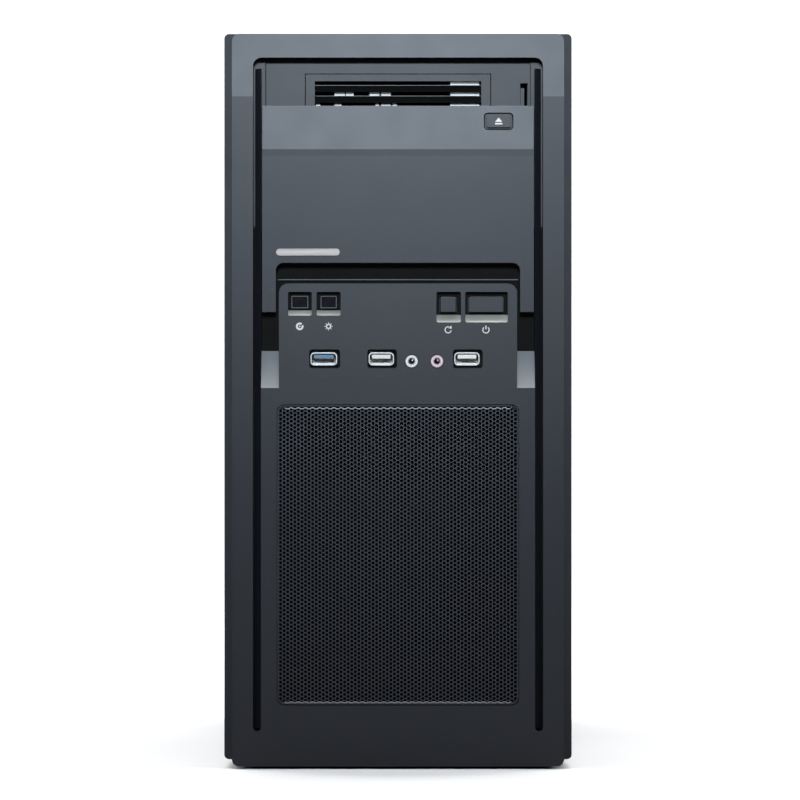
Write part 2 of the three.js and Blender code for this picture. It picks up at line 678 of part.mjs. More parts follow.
function chassisFront() {
  const sheet = block(-WALL_X, WALL_X, CHASSIS_FRONT, CHASSIS_FRONT + SHEET, WALL_LOW, WALL_HIGH);
  const through = [CHASSIS_FRONT - 1, CHASSIS_FRONT + 2];
  const bays = block(-BAY_X, BAY_X, ...through, BAY_LOW + 4, BAY_HIGH - 4);
  const fan = rodY(FRONT_FAN_X, FRONT_FAN_Z, FAN_OPENING, ...through, 32);
  const wiring = block(-50, 50, ...through, above(214), above(258));
  return cut(sheet, [bays, fan, wiring]);
}

function chassisRear() {
  const through = [REAR_INNER - 1, CHASSIS_REAR + 1];
  const sheet = block(-WALL_X, WALL_X, REAR_INNER, CHASSIS_REAR, WALL_LOW, WALL_HIGH);
  const supply = block(
    -PSU.halfWidth + 4, PSU.halfWidth - 4, ...through, PSU.bottom + 4, PSU.bottom + PSU.height - 4,
  );
  const { x0, x1, z0, z1, lap } = SHIELD;
  const shield = block(x0 + lap, x1 - lap, ...through, z0 + lap, z1 - lap);
  const fanRing = rodY(REAR_FAN.x, REAR_FAN.z, FAN_OPENING, ...through, 32);
  const bar = 1.5;
  const bars = [-3, -2, -1, 0, 1, 2, 3].map((step) =>
    block(
      REAR_FAN.x + step * 14 - bar, REAR_FAN.x + step * 14 + bar, REAR_INNER, CHASSIS_REAR,
      REAR_FAN.z - FAN_OPENING - 1, REAR_FAN.z + FAN_OPENING + 1,
    ),
  );
  const slots = Array.from({ length: SLOT_COUNT }, (_, index) =>
    block(SLOT_X0, SLOT_X1, ...through, slotZ(index) - SLOT_HALF, slotZ(index) + SLOT_HALF),
  );
  const screwHoles = SCREW_HEIGHTS.flatMap((z) =>
    [-SCREW_X, SCREW_X].map((x) => rodY(x, z, 2.2, ...through, 12)),
  );
  const solid = cut(sheet, [supply, shield, fanRing, ...slots, ...screwHoles]);
  return join([solid, ...bars]);
}

function motherboardTray() {
  const sheet = block(TRAY_X, TRAY_X + SHEET, -70, REAR_INNER - 6, WALL_LOW + 12, PSU.bottom - 4);
  const hole = alongX(rectangle(90, 170, 175, 275, 6), TRAY_X - 1, TRAY_X + 2);
  return sheet.subtract(hole);
}

function driveCage() {
  const y0 = CHASSIS_FRONT + SHEET + GAP;
  const y1 = CAGE_REAR - 20;
  const top = WALL_HIGH - 8;
  const walls = [-1, 1].map((side) => {
    const [x0, x1] = span(side, BAY_CAGE_X, BAY_CAGE_X + SHEET);
    return block(x0, x1, y0, CAGE_REAR, CAGE_Z, top);
  });
  const floor = block(-BAY_CAGE_X - SHEET, BAY_CAGE_X + SHEET, y0, CAGE_REAR, CAGE_Z, CAGE_Z + SHEET);
  const drop = [-1, 1].map((side) => {
    const [x0, x1] = span(side, DRIVE_WALL_X, DRIVE_WALL_X + SHEET);
    return block(x0, x1, y0, y1, CAGE_LOW, CAGE_Z + SHEET / 2);
  });
  const ledges = [-1, 1].flatMap((side) =>
    [0, 1, 2].map((row) => {
      const [x0, x1] = span(side, DRIVE_WALL_X - LEDGE, DRIVE_WALL_X + SHEET / 2);
      const z = CAGE_LOW + row * LEDGE_PITCH;
      return block(x0, x1, y0, y1, z, z + SHEET);
    }),
  );
  return join([...walls, floor, ...drop, ...ledges]);
}

// A closed case with a shallow recess in its lid and the circuit board's hollow under it.
function hardDrive() {
  const { halfWidth, height, length, lidX, lidRear, lidDrop, boardX, boardDrop, rim } = DRIVE;
  const top = DRIVE_Z + height;
  const body = block(-halfWidth, halfWidth, DRIVE_Y, DRIVE_Y + length, DRIVE_Z, top);
  const lid = block(-lidX, lidX, DRIVE_Y + rim, DRIVE_Y + lidRear, top - lidDrop, top + 1);
  const board = block(
    -boardX, boardX, DRIVE_Y + rim, DRIVE_Y + length - rim, DRIVE_Z - 1, DRIVE_Z + boardDrop,
  );
  return cut(body, [lid, board]);
}

// ---- Side panels, their captive thumbscrews and the feet ----
const PANEL_LOW = BASE_Z + 0.4;
const PANEL_HIGH = TOP_Z - SHEET - GAP;
const PANEL_REAR = CHASSIS_REAR + GAP;
const PAD = { y0: -110, y1: 120, z0: 70, z1: 330, radius: 18, lift: 0.6 }; // each panel's pressed field

function sidePanel(side) {
  const [x0, x1] = span(side, PANEL_INNER_X, PANEL_OUTER_X);
  const sheet = block(x0, x1, CHASSIS_FRONT, PANEL_REAR + SHEET, PANEL_LOW, PANEL_HIGH);
  const [f0, f1] = span(side, SCREW_X - 6, PANEL_OUTER_X);
  const flange = block(f0, f1, PANEL_REAR, PANEL_REAR + SHEET, PANEL_LOW + 10, PANEL_HIGH - 10);
  const holes = SCREW_HEIGHTS.map((z) =>
    rodY(side * SCREW_X, z, SCREW.holeRadius, PANEL_REAR - 1, PANEL_REAR + 2, 12),
  );
  const [p0, p1] = span(side, PANEL_OUTER_X - 0.2, PANEL_OUTER_X + PAD.lift - 0.2);
  const pad = alongX(rectangle(PAD.y0, PAD.y1, PAD.z0, PAD.z1, PAD.radius), p0, p1);
  return cut(join([sheet, flange, pad]), holes);
}

const SCREW = { headRadius: 5.5, shankRadius: 1.75, holeRadius: 2.4, reach: 3 };

function thumbscrew(side, z) {
  const x = side * SCREW_X;
  const under = PANEL_REAR + SHEET + GAP;
  const head = rodY(x, z, SCREW.headRadius, under, BACK - 0.01, 16);
  const shank = rodY(x, z, SCREW.shankRadius, REAR_INNER - SCREW.reach, under + 0.1, 12);
  return head.add(shank);
}

const FOOT = { x: 70, front: FRONT + 70, rear: BACK - 50, topRadius: 15, lowRadius: 13 };
const foot = (x, y) => rodZ(x, y, FOOT.topRadius, 0, FOOT_HEIGHT, 24, FOOT.lowRadius);

// ---- Rear fittings ----
const COVER = { lap: 4, thick: 0.9, halfHeight: 9.3, tab: 11 };

function slotCover(index) {
  const z = slotZ(index);
  const inner = REAR_INNER - GAP;
  const x0 = SLOT_X0 - COVER.lap;
  const low = z - COVER.halfHeight;
  const high = z + COVER.halfHeight;
  const strip = block(x0, SLOT_X1 + COVER.lap, inner - COVER.thick, inner, low, high);
  const tab = block(x0, x0 + SHEET, inner - COVER.tab, inner - COVER.thick / 2, low, high);
  return strip.add(tab);
}

// Openings of the shield: the middle of each in X and above its lower edge, and its width and height.
const SHIELD_PORTS = [
  { x: 44, z: 18, w: 13, h: 13 },
  { x: 62, z: 18, w: 13, h: 13 },
  { x: 48, z: 42, w: 15, h: 16 },
  { x: 48, z: 66, w: 15, h: 16 },
  { x: 50, z: 92, w: 16, h: 14 },
  { x: 50, z: 118, w: 12, h: 30 },
  { x: 48, z: 145, w: 14, h: 14 },
];

function ioShield() {
  const { x0, x1, z0, z1, lap, thick } = SHIELD;
  const sheet = block(x0 - lap, x1 + lap, REAR_INNER - GAP - thick, REAR_INNER - GAP, z0 - lap, z1 + lap);
  const holes = SHIELD_PORTS.map(({ x, z, w, h }) =>
    block(
      x - w / 2 - GAP, x + w / 2 + GAP, REAR_INNER - 3, REAR_INNER + 2,
      SHIELD.z0 + z - h / 2 - GAP, SHIELD.z0 + z + h / 2 + GAP,
    ),
  );
  return cut(sheet, holes);
}

// ---- Motherboard, memory, cooler ----
const BOARD = { x0: TRAY_X - 8, thick: 1.6, size: 244, rear: REAR_INNER - 2 };
const BOARD_HIGH = SHIELD.z1 + 1;
const BOARD_LOW = BOARD_HIGH - BOARD.size;
const PORT_DEPTH = 18;
const NOSE = 0.6; // how far each rear port reaches past the shield
const COOLER = {
  y: 134, z: 240, half: 42, base: 10, fins: 26, finCount: 15, fin: 1.5, fan: 84, fanDepth: 22,
};
const CPU = { half: 20, height: 3 };
const MEMORY = {
  y: 62, pitch: 19, low: 160, high: 298, socketHalf: 3, socketHeight: 6, height: 30, half: 1.6,
};
const memoryY = (index) => MEMORY.y - index * MEMORY.pitch;

// Everything that stands straight on the board: its height and its span in Y and Z.
const BOARD_PARTS = [
  {
    height: CPU.height, y0: COOLER.y - CPU.half, y1: COOLER.y + CPU.half,
    z0: COOLER.z - CPU.half, z1: COOLER.z + CPU.half,
  },
  { height: 9, y0: 40, y1: 74, z0: 90, z1: 124 }, // chipset under its heat spreader
  { height: 10, y0: -16, y1: -6, z0: 196, z1: 248 }, // power header
  { height: 8, y0: -30, y1: -20, z0: BOARD_LOW + 6, z1: BOARD_LOW + 14 }, // front panel header
  { height: 8, y0: -20, y1: -8, z0: 110, z1: 126 }, // drive header
  ...[0, 1].map((index) => ({
    height: MEMORY.socketHeight, z0: MEMORY.low, z1: MEMORY.high,
    y0: memoryY(index) - MEMORY.socketHalf, y1: memoryY(index) + MEMORY.socketHalf,
  })),
  ...[0, 1, 2].map((index) => ({
    height: 9, y0: BOARD.rear - 130, y1: BOARD.rear - 48, z0: slotZ(index) - 3.6, z1: slotZ(index) + 3.6,
  })),
];

function motherboard() {
  const { x0, thick, size, rear } = BOARD;
  const board = block(x0, x0 + thick, rear - size, rear, BOARD_LOW, BOARD_HIGH);
  const standoffs = [rear - 10, rear - 230].flatMap((y) =>
    [BOARD_LOW + 12, BOARD_HIGH - 12].map((z) => rodX(y, z, 3, x0 + 1, TRAY_X - GAP, 8)),
  );
  const ports = SHIELD_PORTS.flatMap(({ x, z, w, h }) => {
    const low = SHIELD.z0 + z - h / 2;
    return [
      block(x - w / 2, x0 + 0.5, rear - PORT_DEPTH, rear - 1.4, low, low + h),
      block(x - w / 2, x + w / 2, rear - PORT_DEPTH + 1, REAR_INNER + NOSE, low, low + h),
    ];
  });
  const parts = BOARD_PARTS.map(({ height, y0, y1, z0, z1 }) =>
    block(x0 - height, x0 + 0.5, y0, y1, z0, z1),
  );
  return join([board, ...standoffs, ...ports, ...parts]);
}

function memoryModule(index) {
  const y = memoryY(index);
  const x1 = BOARD.x0 - MEMORY.socketHeight - GAP;
  const inset = 2.3;
  return block(
    x1 - MEMORY.height, x1, y - MEMORY.half, y + MEMORY.half, MEMORY.low + inset, MEMORY.high - inset,
  );
}

const COOLER_X = BOARD.x0 - CPU.height - GAP;
const FIN_X = COOLER_X - COOLER.base - COOLER.fins;
const COOLER_FAN_X = FIN_X + 0.5 - COOLER.fanDepth / 2;

// A square pad of fins on a base, with the open frame of its own fan clipped on top.
function cpuCooler() {
  const { y, z, half, base, finCount, fin, fan, fanDepth } = COOLER;
  const pad = block(COOLER_X - base, COOLER_X, y - half, y + half, z - half, z + half);
  const pitch = (2 * half - fin) / (finCount - 1);
  const fins = Array.from({ length: finCount }, (_, index) => {
    const low = z - half + index * pitch;
    return block(FIN_X, COOLER_X - base + 0.5, y - half, y + half, low, low + fin);
  });
  const frame = fanFrameSolid(fan, fanDepth).rotate([0, 0, -90]).translate([COOLER_FAN_X, y, z]);
  return join([pad, ...fins, frame]);
}

// ---- Fans: a square frame with a hub held by struts, and a rotor that turns in it ----
const STRUT = { half: 1.8, thick: 3 };
const BLADE = { count: 7, thick: 1.4, chord: 0.21, pitch: 0.62 }; // the chord is a share of the fan's size
const HUB_SHARE = 6.2; // the fan's size over its hub's radius
const TIP_GAP = 1.7;
const FRAME_WALL = 2.5;

function fanFrameSolid(size, depth) {
  const half = size / 2;
  const bore = half - FRAME_WALL;
  const [y0, y1] = [depth / 2 - STRUT.thick, depth / 2];
  const body = plate(-half, half, -half, half, size / 16, -depth / 2, depth / 2);
  const hole = rodY(0, 0, bore, -depth, depth, 28);
  const hub = rodY(0, 0, size / (HUB_SHARE + 0.3), y0, y1, 20);
  const strut = block(-bore - 1, bore + 1, y0, y1, -STRUT.half, STRUT.half);
  const across = block(-STRUT.half, STRUT.half, y0, y1, -bore - 1, bore + 1);
  return join([body.subtract(hole), hub, strut, across]);
}

function fanRotorSolid(size, depth) {
  const tip = size / 2 - FRAME_WALL - TIP_GAP;
  const hubRadius = size / HUB_SHARE;
  const front = -depth / 2 + 1.5;
  const back = depth / 2 - STRUT.thick - 2 * GAP;
  const hub = rodY(0, 0, hubRadius, front, back, 20);
  const blades = Array.from({ length: BLADE.count }, (_, index) => {
    const blade = new THREE.BoxGeometry(tip - hubRadius + 2, BLADE.thick, size * BLADE.chord);
    blade.rotateX(BLADE.pitch);
    blade.translate((tip + hubRadius) / 2 - 1, (front + back) / 2, 0);
    blade.rotateY((index * 2 * Math.PI) / BLADE.count);
    return solidFrom(blade);
  });
  const round = rodY(0, 0, tip, front, back, 28);
  return join([hub, ...blades.map((blade) => blade.intersect(round))]);
}

const FRONT_FAN_Y = CHASSIS_FRONT + SHEET + GAP + FAN_DEPTH / 2;
const REAR_FAN_Y = REAR_INNER - 0.9 - 2 * GAP - FAN_DEPTH / 2;
const PSU_FAN_Y = REAR_INNER - PSU.depth / 2;
const PSU_FAN_SIZE = 120;

// ---- Power supply ----
const INLET = { x0: 30, x1: 58, z0: PSU.bottom + 30, z1: PSU.bottom + 52, wall: 2, depth: 20, well: 16 };
const ROCKER = { x0: 34, x1: 54, z0: PSU.bottom + 60, z1: PSU.bottom + 74, radius: 11, halfHeight: 4.5 };
const VENTS = { x0: -68, x1: 18, first: PSU.bottom + 10, pitch: 9, height: 4.5, count: 8 };

function psuCase() {
  const y1 = REAR_INNER - GAP;
  const y0 = y1 - PSU.depth;
  const z1 = PSU.bottom + PSU.height;
  const body = block(-PSU.halfWidth, PSU.halfWidth, y0, y1, PSU.bottom, z1);
  const hollow = block(
    -PSU.halfWidth + SHEET, PSU.halfWidth - SHEET, y0 + SHEET, y1 - SHEET, PSU.bottom + SHEET, z1 - SHEET,
  );
  const intake = rodZ(0, PSU_FAN_Y, PSU_FAN_SIZE / 2 - 2, PSU.bottom - 1, PSU.bottom + 2, 32);
  const inlet = block(INLET.x0 - GAP, INLET.x1 + GAP, y1 - 2, y1 + 1, INLET.z0 - GAP, INLET.z1 + GAP);
  const vents = Array.from({ length: VENTS.count }, (_, row) => {
    const low = VENTS.first + row * VENTS.pitch;
    return block(VENTS.x0, VENTS.x1, y1 - 2, y1 + 1, low, low + VENTS.height);
  });
  const leadExit = block(30, 60, y0 - 1, y0 + 2, PSU.bottom + 12, PSU.bottom + 34);
  const board = block(-70, 70, y0 + 0.5, y1 - 24, z1 - 8, z1 - 6);
  const transformer = block(-60, 40, y0 + 10, y1 - 50, z1 - 34, z1 - 7.5);
  const open = cut(body, [hollow, intake, inlet, ...vents, leadExit]);
  return join([open, board, transformer, rockerFrame()]).subtract(rockerWell());
}

// A socket with three pins for a mains lead.
function psuInlet() {
  const { x0, x1, z0, z1, wall, depth, well } = INLET;
  const body = block(x0, x1, REAR_INNER - depth, REAR_INNER + 0.8, z0, z1);
  const socket = block(x0 + wall, x1 - wall, REAR_INNER - well, REAR_INNER + 2, z0 + wall, z1 - wall);
  const middle = (x0 + x1) / 2;
  const centre = (z0 + z1) / 2;
  const pins = [[-7, -1.8], [7, -1.8], [0, 2.6]].map(([dx, dz]) =>
    block(
      middle + dx - 1, middle + dx + 1, REAR_INNER - well - 1, REAR_INNER - 3,
      centre + dz - 2, centre + dz + 2,
    ),
  );
  return join([body.subtract(socket), ...pins]);
}

// A slice of a drum that rocks about the drum's own axis.
function rockerSwitch() {
  const { x0, x1, radius, halfHeight } = ROCKER;
  const y = REAR_INNER - radius + 2.2;
  const centreZ = (ROCKER.z0 + ROCKER.z1) / 2;
  const drum = rodX(y, centreZ, radius, x0 + 3, x1 - 3, 40);
  const window = block(x0, x1, y - 2, y + 20, centreZ - halfHeight, centreZ + halfHeight);
  return drum.intersect(window);
}

// The switch's housing, which is part of the supply's case.
const rockerFrame = () =>
  block(ROCKER.x0, ROCKER.x1, REAR_INNER - 17, REAR_INNER + 0.8, ROCKER.z0, ROCKER.z1);
const rockerWell = () =>
  block(ROCKER.x0 + 2, ROCKER.x1 - 2, REAR_INNER - 15, REAR_INNER + 2, ROCKER.z0 + 0.8, ROCKER.z1 - 0.8);

// ---- Leads inside, each held at both ends ----
function lead(points, radius) {
  const curve = new THREE.CatmullRomCurve3(points.map(([x, y, z]) => new THREE.Vector3(x, y, z)));
  const section = new THREE.Shape();
  section.absarc(0, 0, radius, 0, 2 * Math.PI, false);
  const tube = new THREE.ExtrudeGeometry(section, {
    extrudePath: curve, steps: 20, curveSegments: 4, bevelEnabled: false,
  });
  return solidFrom(tube);
}

const LEADS = {
  supply_cable: {
    radius: 5,
    route: [
      [48, 65, 335], [48, 40, 335], [47, 18, 316], [47, 8, 288], [46, 0, 250], [50, -9, 223],
      [58, -11, 222], [65.2, -11, 222],
    ],
  },
  front_panel_cable: {
    radius: 2.5,
    route: [
      [-7, -191, 241.5], [-7, -186.5, 241], [-6, -172, 226], [10, -120, 222], [30, -60, 221],
      [38, -12, 200],
      [40, 0, 130], [46, -14, 84], [58, -24, 75], [67.2, -25, 75],
    ],
  },
  drive_data_cable: {
    radius: 2.2,
    route: [
      [30, -21.4, 246], [30, -6, 244], [32, 16, 205], [36, 18, 150], [48, -2, 122], [58, -13, 118],
      [67.4, -14, 118],
    ],
  },
  drive_power_cable: {
    radius: 3,
    route: [
      [36, 65, 335], [34, 46, 334], [18, 22, 314], [6, 6, 290], [-2, 2, 264], [-4, -8, 250],
      [-4, -21.2, 248],
    ],
  },
};

// ---- Assembly ----
reserveBlockOpenings();
addPiece("front_bezel", frontBezel(), BLACK_PLASTIC, 0.55);
addPiece("sliding_door", slidingDoor(), BLACK_PLASTIC, 0.55);
addPiece("door_badge", doorBadge(), 0xb9bcc0, 0.35, 0.8);
addPiece("eject_button", ejectButton(), DARK_PLASTIC, 0.4);
addPiece("bay_cover_upper", upperBayCover(), DARK_PLASTIC);
addPiece("louvre_insert", louvreInsert(), DARK_PLASTIC);
addPiece("bay_cover_lower", lowerBayCover(), DARK_PLASTIC);
addPiece("front_mesh", frontMesh(), 0x2a2c30, 0.5, 0.4);
addPiece("dust_filter", dustFilter(), 0x101012, 0.95);
for (const [name, place] of Object.entries(BUTTONS)) addPiece(name, buttonPiece(place), DARK_PLASTIC, 0.4);
for (const [name, place] of Object.entries(LED_WINDOWS)) addPiece(name, windowPiece(place), 0x050506, 0.15);
for (const [name, place] of Object.entries(USB_PORTS)) addPiece(name, usbPort(place), BARE_STEEL, 0.3, 0.9);
for (const [name, x] of Object.entries(JACKS)) addPiece(
  name, audioJack(x), x < 15 ? 0xe6e6e0 : 0xd08a96, 0.5,
);
addPiece("front_io_board", frontIoBoard(), 0x1c5a35, 0.5);

addPiece("chassis_base", chassisBase(), PAINTED_STEEL, 0.5, 0.5);
addPiece("chassis_front", chassisFront(), PAINTED_STEEL, 0.5, 0.5);
addPiece("chassis_rear", chassisRear(), PAINTED_STEEL, 0.5, 0.5);
addPiece("chassis_top", chassisTop(), PAINTED_STEEL, 0.5, 0.5);
addPiece("motherboard_tray", motherboardTray(), PAINTED_STEEL, 0.5, 0.5);
addPiece("drive_cage", driveCage(), PAINTED_STEEL, 0.5, 0.5);
for (const [label, side] of [["left", -1], ["right", 1]]) {
  addPiece(`${label}_side_panel`, sidePanel(side), PAINTED_STEEL, 0.5, 0.5);
  for (const [level, z] of [["lower", SCREW_HEIGHTS[0]], ["upper", SCREW_HEIGHTS[1]]]) {
    addPiece(`${label}_${level}_thumbscrew`, thumbscrew(side, z), 0x26272a, 0.4, 0.7);
  }
  for (const [end, y] of [["front", FOOT.front], ["rear", FOOT.rear]]) {
    addPiece(`${label}_${end}_foot`, foot(side * FOOT.x, y), 0x141414, 0.9);
  }
}
for (let index = 0; index < SLOT_COUNT; index += 1) {
  addPiece(`slot_cover_${index + 1}`, slotCover(index), BARE_STEEL, 0.4, 0.8);
}
addPiece("io_shield", ioShield(), BARE_STEEL, 0.35, 0.9);

addPiece("motherboard", motherboard(), 0x1a3324, 0.6);
addPiece("memory_module", memoryModule(0), 0x1f6b3a, 0.5);
addPiece("cpu_cooler", cpuCooler(), 0x9a9da1, 0.4, 0.8);
addPiece("hard_drive", hardDrive(), 0x8e9196, 0.4, 0.8);
addPiece("psu_case", psuCase(), 0x2a2a2c, 0.5, 0.6);
addPiece("psu_inlet", psuInlet(), 0x101010, 0.5);
addPiece("psu_switch_rocker", rockerSwitch(), 0x0c0c0c, 0.4);

const frameColor = 0x18181a;
const rotorColor = 0x111112;
const frontFan = [FRONT_FAN_X, FRONT_FAN_Y, FRONT_FAN_Z];
const rearFan = [REAR_FAN.x, REAR_FAN_Y, REAR_FAN.z];
const psuFan = [0, PSU_FAN_Y, PSU.bottom + SHEET + GAP + FAN_DEPTH / 2];
addPiece("front_fan_frame", fanFrameSolid(FAN, FAN_DEPTH).translate(frontFan), frameColor);
addPiece("front_fan_rotor", fanRotorSolid(FAN, FAN_DEPTH).translate(frontFan), rotorColor);
addPiece("rear_fan_frame", fanFrameSolid(FAN, FAN_DEPTH).translate(rearFan), frameColor);
addPiece("rear_fan_rotor", fanRotorSolid(FAN, FAN_DEPTH).translate(rearFan), rotorColor);
addPiece(
  "psu_fan_frame", fanFrameSolid(PSU_FAN_SIZE, FAN_DEPTH).rotate([90, 0, 0]).translate(psuFan), frameColor,
);
addPiece(
  "psu_fan_rotor", fanRotorSolid(PSU_FAN_SIZE, FAN_DEPTH).rotate([90, 0, 0]).translate(psuFan), rotorColor,
);
addPiece(
  "cpu_fan_rotor",
  fanRotorSolid(COOLER.fan, COOLER.fanDepth).rotate([0, 0, -90]).translate(
    [COOLER_FAN_X, COOLER.y, COOLER.z],
  ),
  rotorColor,
);
for (const [name, { route, radius }] of Object.entries(LEADS)) addPiece(
  name, lead(route, radius), 0x121212, 0.8,
);

export default tower;
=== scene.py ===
import json
import math
from collections import Counter

import bmesh
import bpy
from mathutils import Matrix, Vector
from mathutils.bvhtree import BVHTree


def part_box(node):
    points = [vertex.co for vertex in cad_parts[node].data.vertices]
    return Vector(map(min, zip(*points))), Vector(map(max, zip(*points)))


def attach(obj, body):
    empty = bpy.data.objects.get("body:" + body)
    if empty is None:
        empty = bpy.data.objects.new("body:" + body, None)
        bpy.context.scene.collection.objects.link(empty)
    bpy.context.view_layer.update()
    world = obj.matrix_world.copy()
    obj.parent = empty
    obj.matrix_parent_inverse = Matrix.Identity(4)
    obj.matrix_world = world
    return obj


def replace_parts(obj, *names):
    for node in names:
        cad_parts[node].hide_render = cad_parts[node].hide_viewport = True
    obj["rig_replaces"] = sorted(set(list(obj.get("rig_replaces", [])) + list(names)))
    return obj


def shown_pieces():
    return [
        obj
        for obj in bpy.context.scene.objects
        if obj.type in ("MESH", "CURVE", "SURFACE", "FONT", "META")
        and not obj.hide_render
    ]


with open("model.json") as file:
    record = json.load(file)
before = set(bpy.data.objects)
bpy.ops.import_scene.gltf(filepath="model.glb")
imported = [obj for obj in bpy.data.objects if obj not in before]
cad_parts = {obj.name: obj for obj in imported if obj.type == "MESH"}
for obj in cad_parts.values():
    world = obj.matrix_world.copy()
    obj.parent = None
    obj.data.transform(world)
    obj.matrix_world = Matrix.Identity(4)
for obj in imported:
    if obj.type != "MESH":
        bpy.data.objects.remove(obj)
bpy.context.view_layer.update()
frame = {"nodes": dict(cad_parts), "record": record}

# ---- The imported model's own box, and lengths that everything below is worked out from ----
MM = 0.001
SCENE = bpy.context.scene
BEZEL_LOW, BEZEL_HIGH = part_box("front_bezel")
FRONT_Y = BEZEL_LOW.y
DOOR_LOW, DOOR_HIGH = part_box("sliding_door")
MESH_LOW, MESH_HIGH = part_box("front_mesh")
MESH_FLANGE = 2.9 * MM  # how far the intake mesh's flange reaches behind the bezel


# ---- Camera: square on to the front at half its height, from far off ----
def make_camera():
    distance = 2.6
    view_width = 0.4379  # what the picture spans at the bezel's face
    data = bpy.data.cameras.new("camera")
    data.sensor_width = 36
    data.lens = data.sensor_width * distance / view_width
    camera = bpy.data.objects.new("camera", data)
    camera.location = (0.0011, FRONT_Y - distance, 0.2021)
    camera.rotation_euler = (math.pi / 2, 0, 0)
    SCENE.collection.objects.link(camera)
    SCENE.camera = camera


make_camera()


# ---- Materials ----
class Nodes:
    """A material with a Principled shader, and short calls for the nodes that feed it."""

    def __init__(self, name, color, roughness, metallic=0.0, specular=0.5):
        self.material = bpy.data.materials.new(name)
        self.material.use_nodes = True
        self.tree = self.material.node_tree
        self.shader = self.tree.nodes["Principled BSDF"]
        self.shader.inputs["Base Color"].default_value = (*color, 1)
        self.shader.inputs["Roughness"].default_value = roughness
        self.shader.inputs["Metallic"].default_value = metallic
        self.shader.inputs["Specular IOR Level"].default_value = specular
        self.material.diffuse_color = (*color, 1)

    def add(self, kind, **inputs):
        node = self.tree.nodes.new(kind)
        for key, value in inputs.items():
            node.inputs[key.replace("_", " ")].default_value = value
        return node

    def link(self, source, output, target, entry):
        self.tree.links.new(source.outputs[output], target.inputs[entry])

    def place(self, stretch=(1, 1, 1)):
        """The object's own coordinates in metres, stretched along each axis."""
        where = self.add("ShaderNodeTexCoord")
        mapping = self.add("ShaderNodeMapping")
        mapping.inputs["Scale"].default_value = stretch
        self.link(where, "Object", mapping, "Vector")
        return mapping

    def noise(self, scale, detail=3.0, stretch=(1, 1, 1)):
        texture = self.add("ShaderNodeTexNoise", Scale=scale, Detail=detail)
        self.link(self.place(stretch), "Vector", texture, "Vector")
        return texture

    def ramp(self, source, output, low, high):
        """A map of a 0 to 1 value onto low to high."""
        node = self.add("ShaderNodeMapRange")
        node.inputs["To Min"].default_value = low
        node.inputs["To Max"].default_value = high
        self.link(source, output, node, "Value")
        return node

    def vary_color(self, texture, dark, light, low=0.35, high=0.65):
        ramp = self.tree.nodes.new("ShaderNodeValToRGB")
        ramp.color_ramp.elements[0].position = low
        ramp.color_ramp.elements[0].color = (*dark, 1)
        ramp.color_ramp.elements[1].position = high
        ramp.color_ramp.elements[1].color = (*light, 1)
        self.link(texture, "Fac", ramp, "Fac")
        self.link(ramp, "Color", self.shader, "Base Color")
        return ramp

    def vary_roughness(self, texture, low, high):
        self.link(self.ramp(texture, "Fac", low, high), "Result", self.shader, "Roughness")

    def bump(self, texture, output, strength, distance):
        node = self.add("ShaderNodeBump", Strength=strength, Distance=distance)
        self.link(texture, output, node, "Height")
        self.link(node, "Normal", self.shader, "Normal")


def shade(color, factor):
    return tuple(min(1, channel * factor) for channel in color)


def moulded(name, color, roughness, grain=0.25, specular=0.5, uneven=1.0):
    """Injection-moulded plastic: a fine spark-eroded grain and faint handling marks."""
    nodes = Nodes(name, color, roughness, specular=specular)
    nodes.vary_color(nodes.noise(35, 5), shade(color, 1 - 0.1 * uneven), shade(color, 1 + 0.1 * uneven))
    nodes.vary_roughness(nodes.noise(60, 6), roughness - 0.04 * uneven, roughness + 0.06 * uneven)
    nodes.bump(nodes.noise(3200, 2), "Fac", grain, 0.00006)
    return nodes.material


def coated_steel(name, color, roughness, metallic=0.0, grain=0.35, specular=0.5):
    """Powder-coated sheet: an orange-peel surface, a little uneven in gloss."""
    nodes = Nodes(name, color, roughness, metallic, specular)
    nodes.vary_color(nodes.noise(18, 4), shade(color, 0.88), shade(color, 1.12))
    nodes.vary_roughness(nodes.noise(90, 5), roughness - 0.05, roughness + 0.07)
    nodes.bump(nodes.noise(1500, 3), "Fac", grain, 0.00008)
    return nodes.material


def bare_metal(name, color, roughness, stretch=(1, 1, 1), scale=900):
    """Plated or brushed metal: fine lines along the axis that stretch shortens."""
    nodes = Nodes(name, color, roughness, 1.0)
    nodes.vary_color(nodes.noise(scale, 3, stretch), shade(color, 0.85), shade(color, 1.1))
    nodes.vary_roughness(nodes.noise(scale * 0.6, 3, stretch), roughness - 0.08, roughness + 0.1)
    nodes.bump(nodes.noise(scale, 2, stretch), "Fac", 0.15, 0.00004)
    return nodes.material


def printed(name, color):
    """Screen-printed ink: matt, slightly uneven in cover."""
    nodes = Nodes(name, color, 0.6)
    nodes.vary_color(nodes.noise(4000, 2), shade(color, 0.85), color)
    return nodes.material


def foam(name, color):
    nodes = Nodes(name, color, 0.95, specular=0.1)
    cells = nodes.add("ShaderNodeTexVoronoi", Scale=900.0)
    nodes.link(nodes.place(), "Vector", cells, "Vector")
    nodes.vary_color(nodes.noise(700, 3), shade(color, 0.5), shade(color, 1.6))
    nodes.bump(cells, "Distance", 0.8, 0.0006)
    return nodes.material


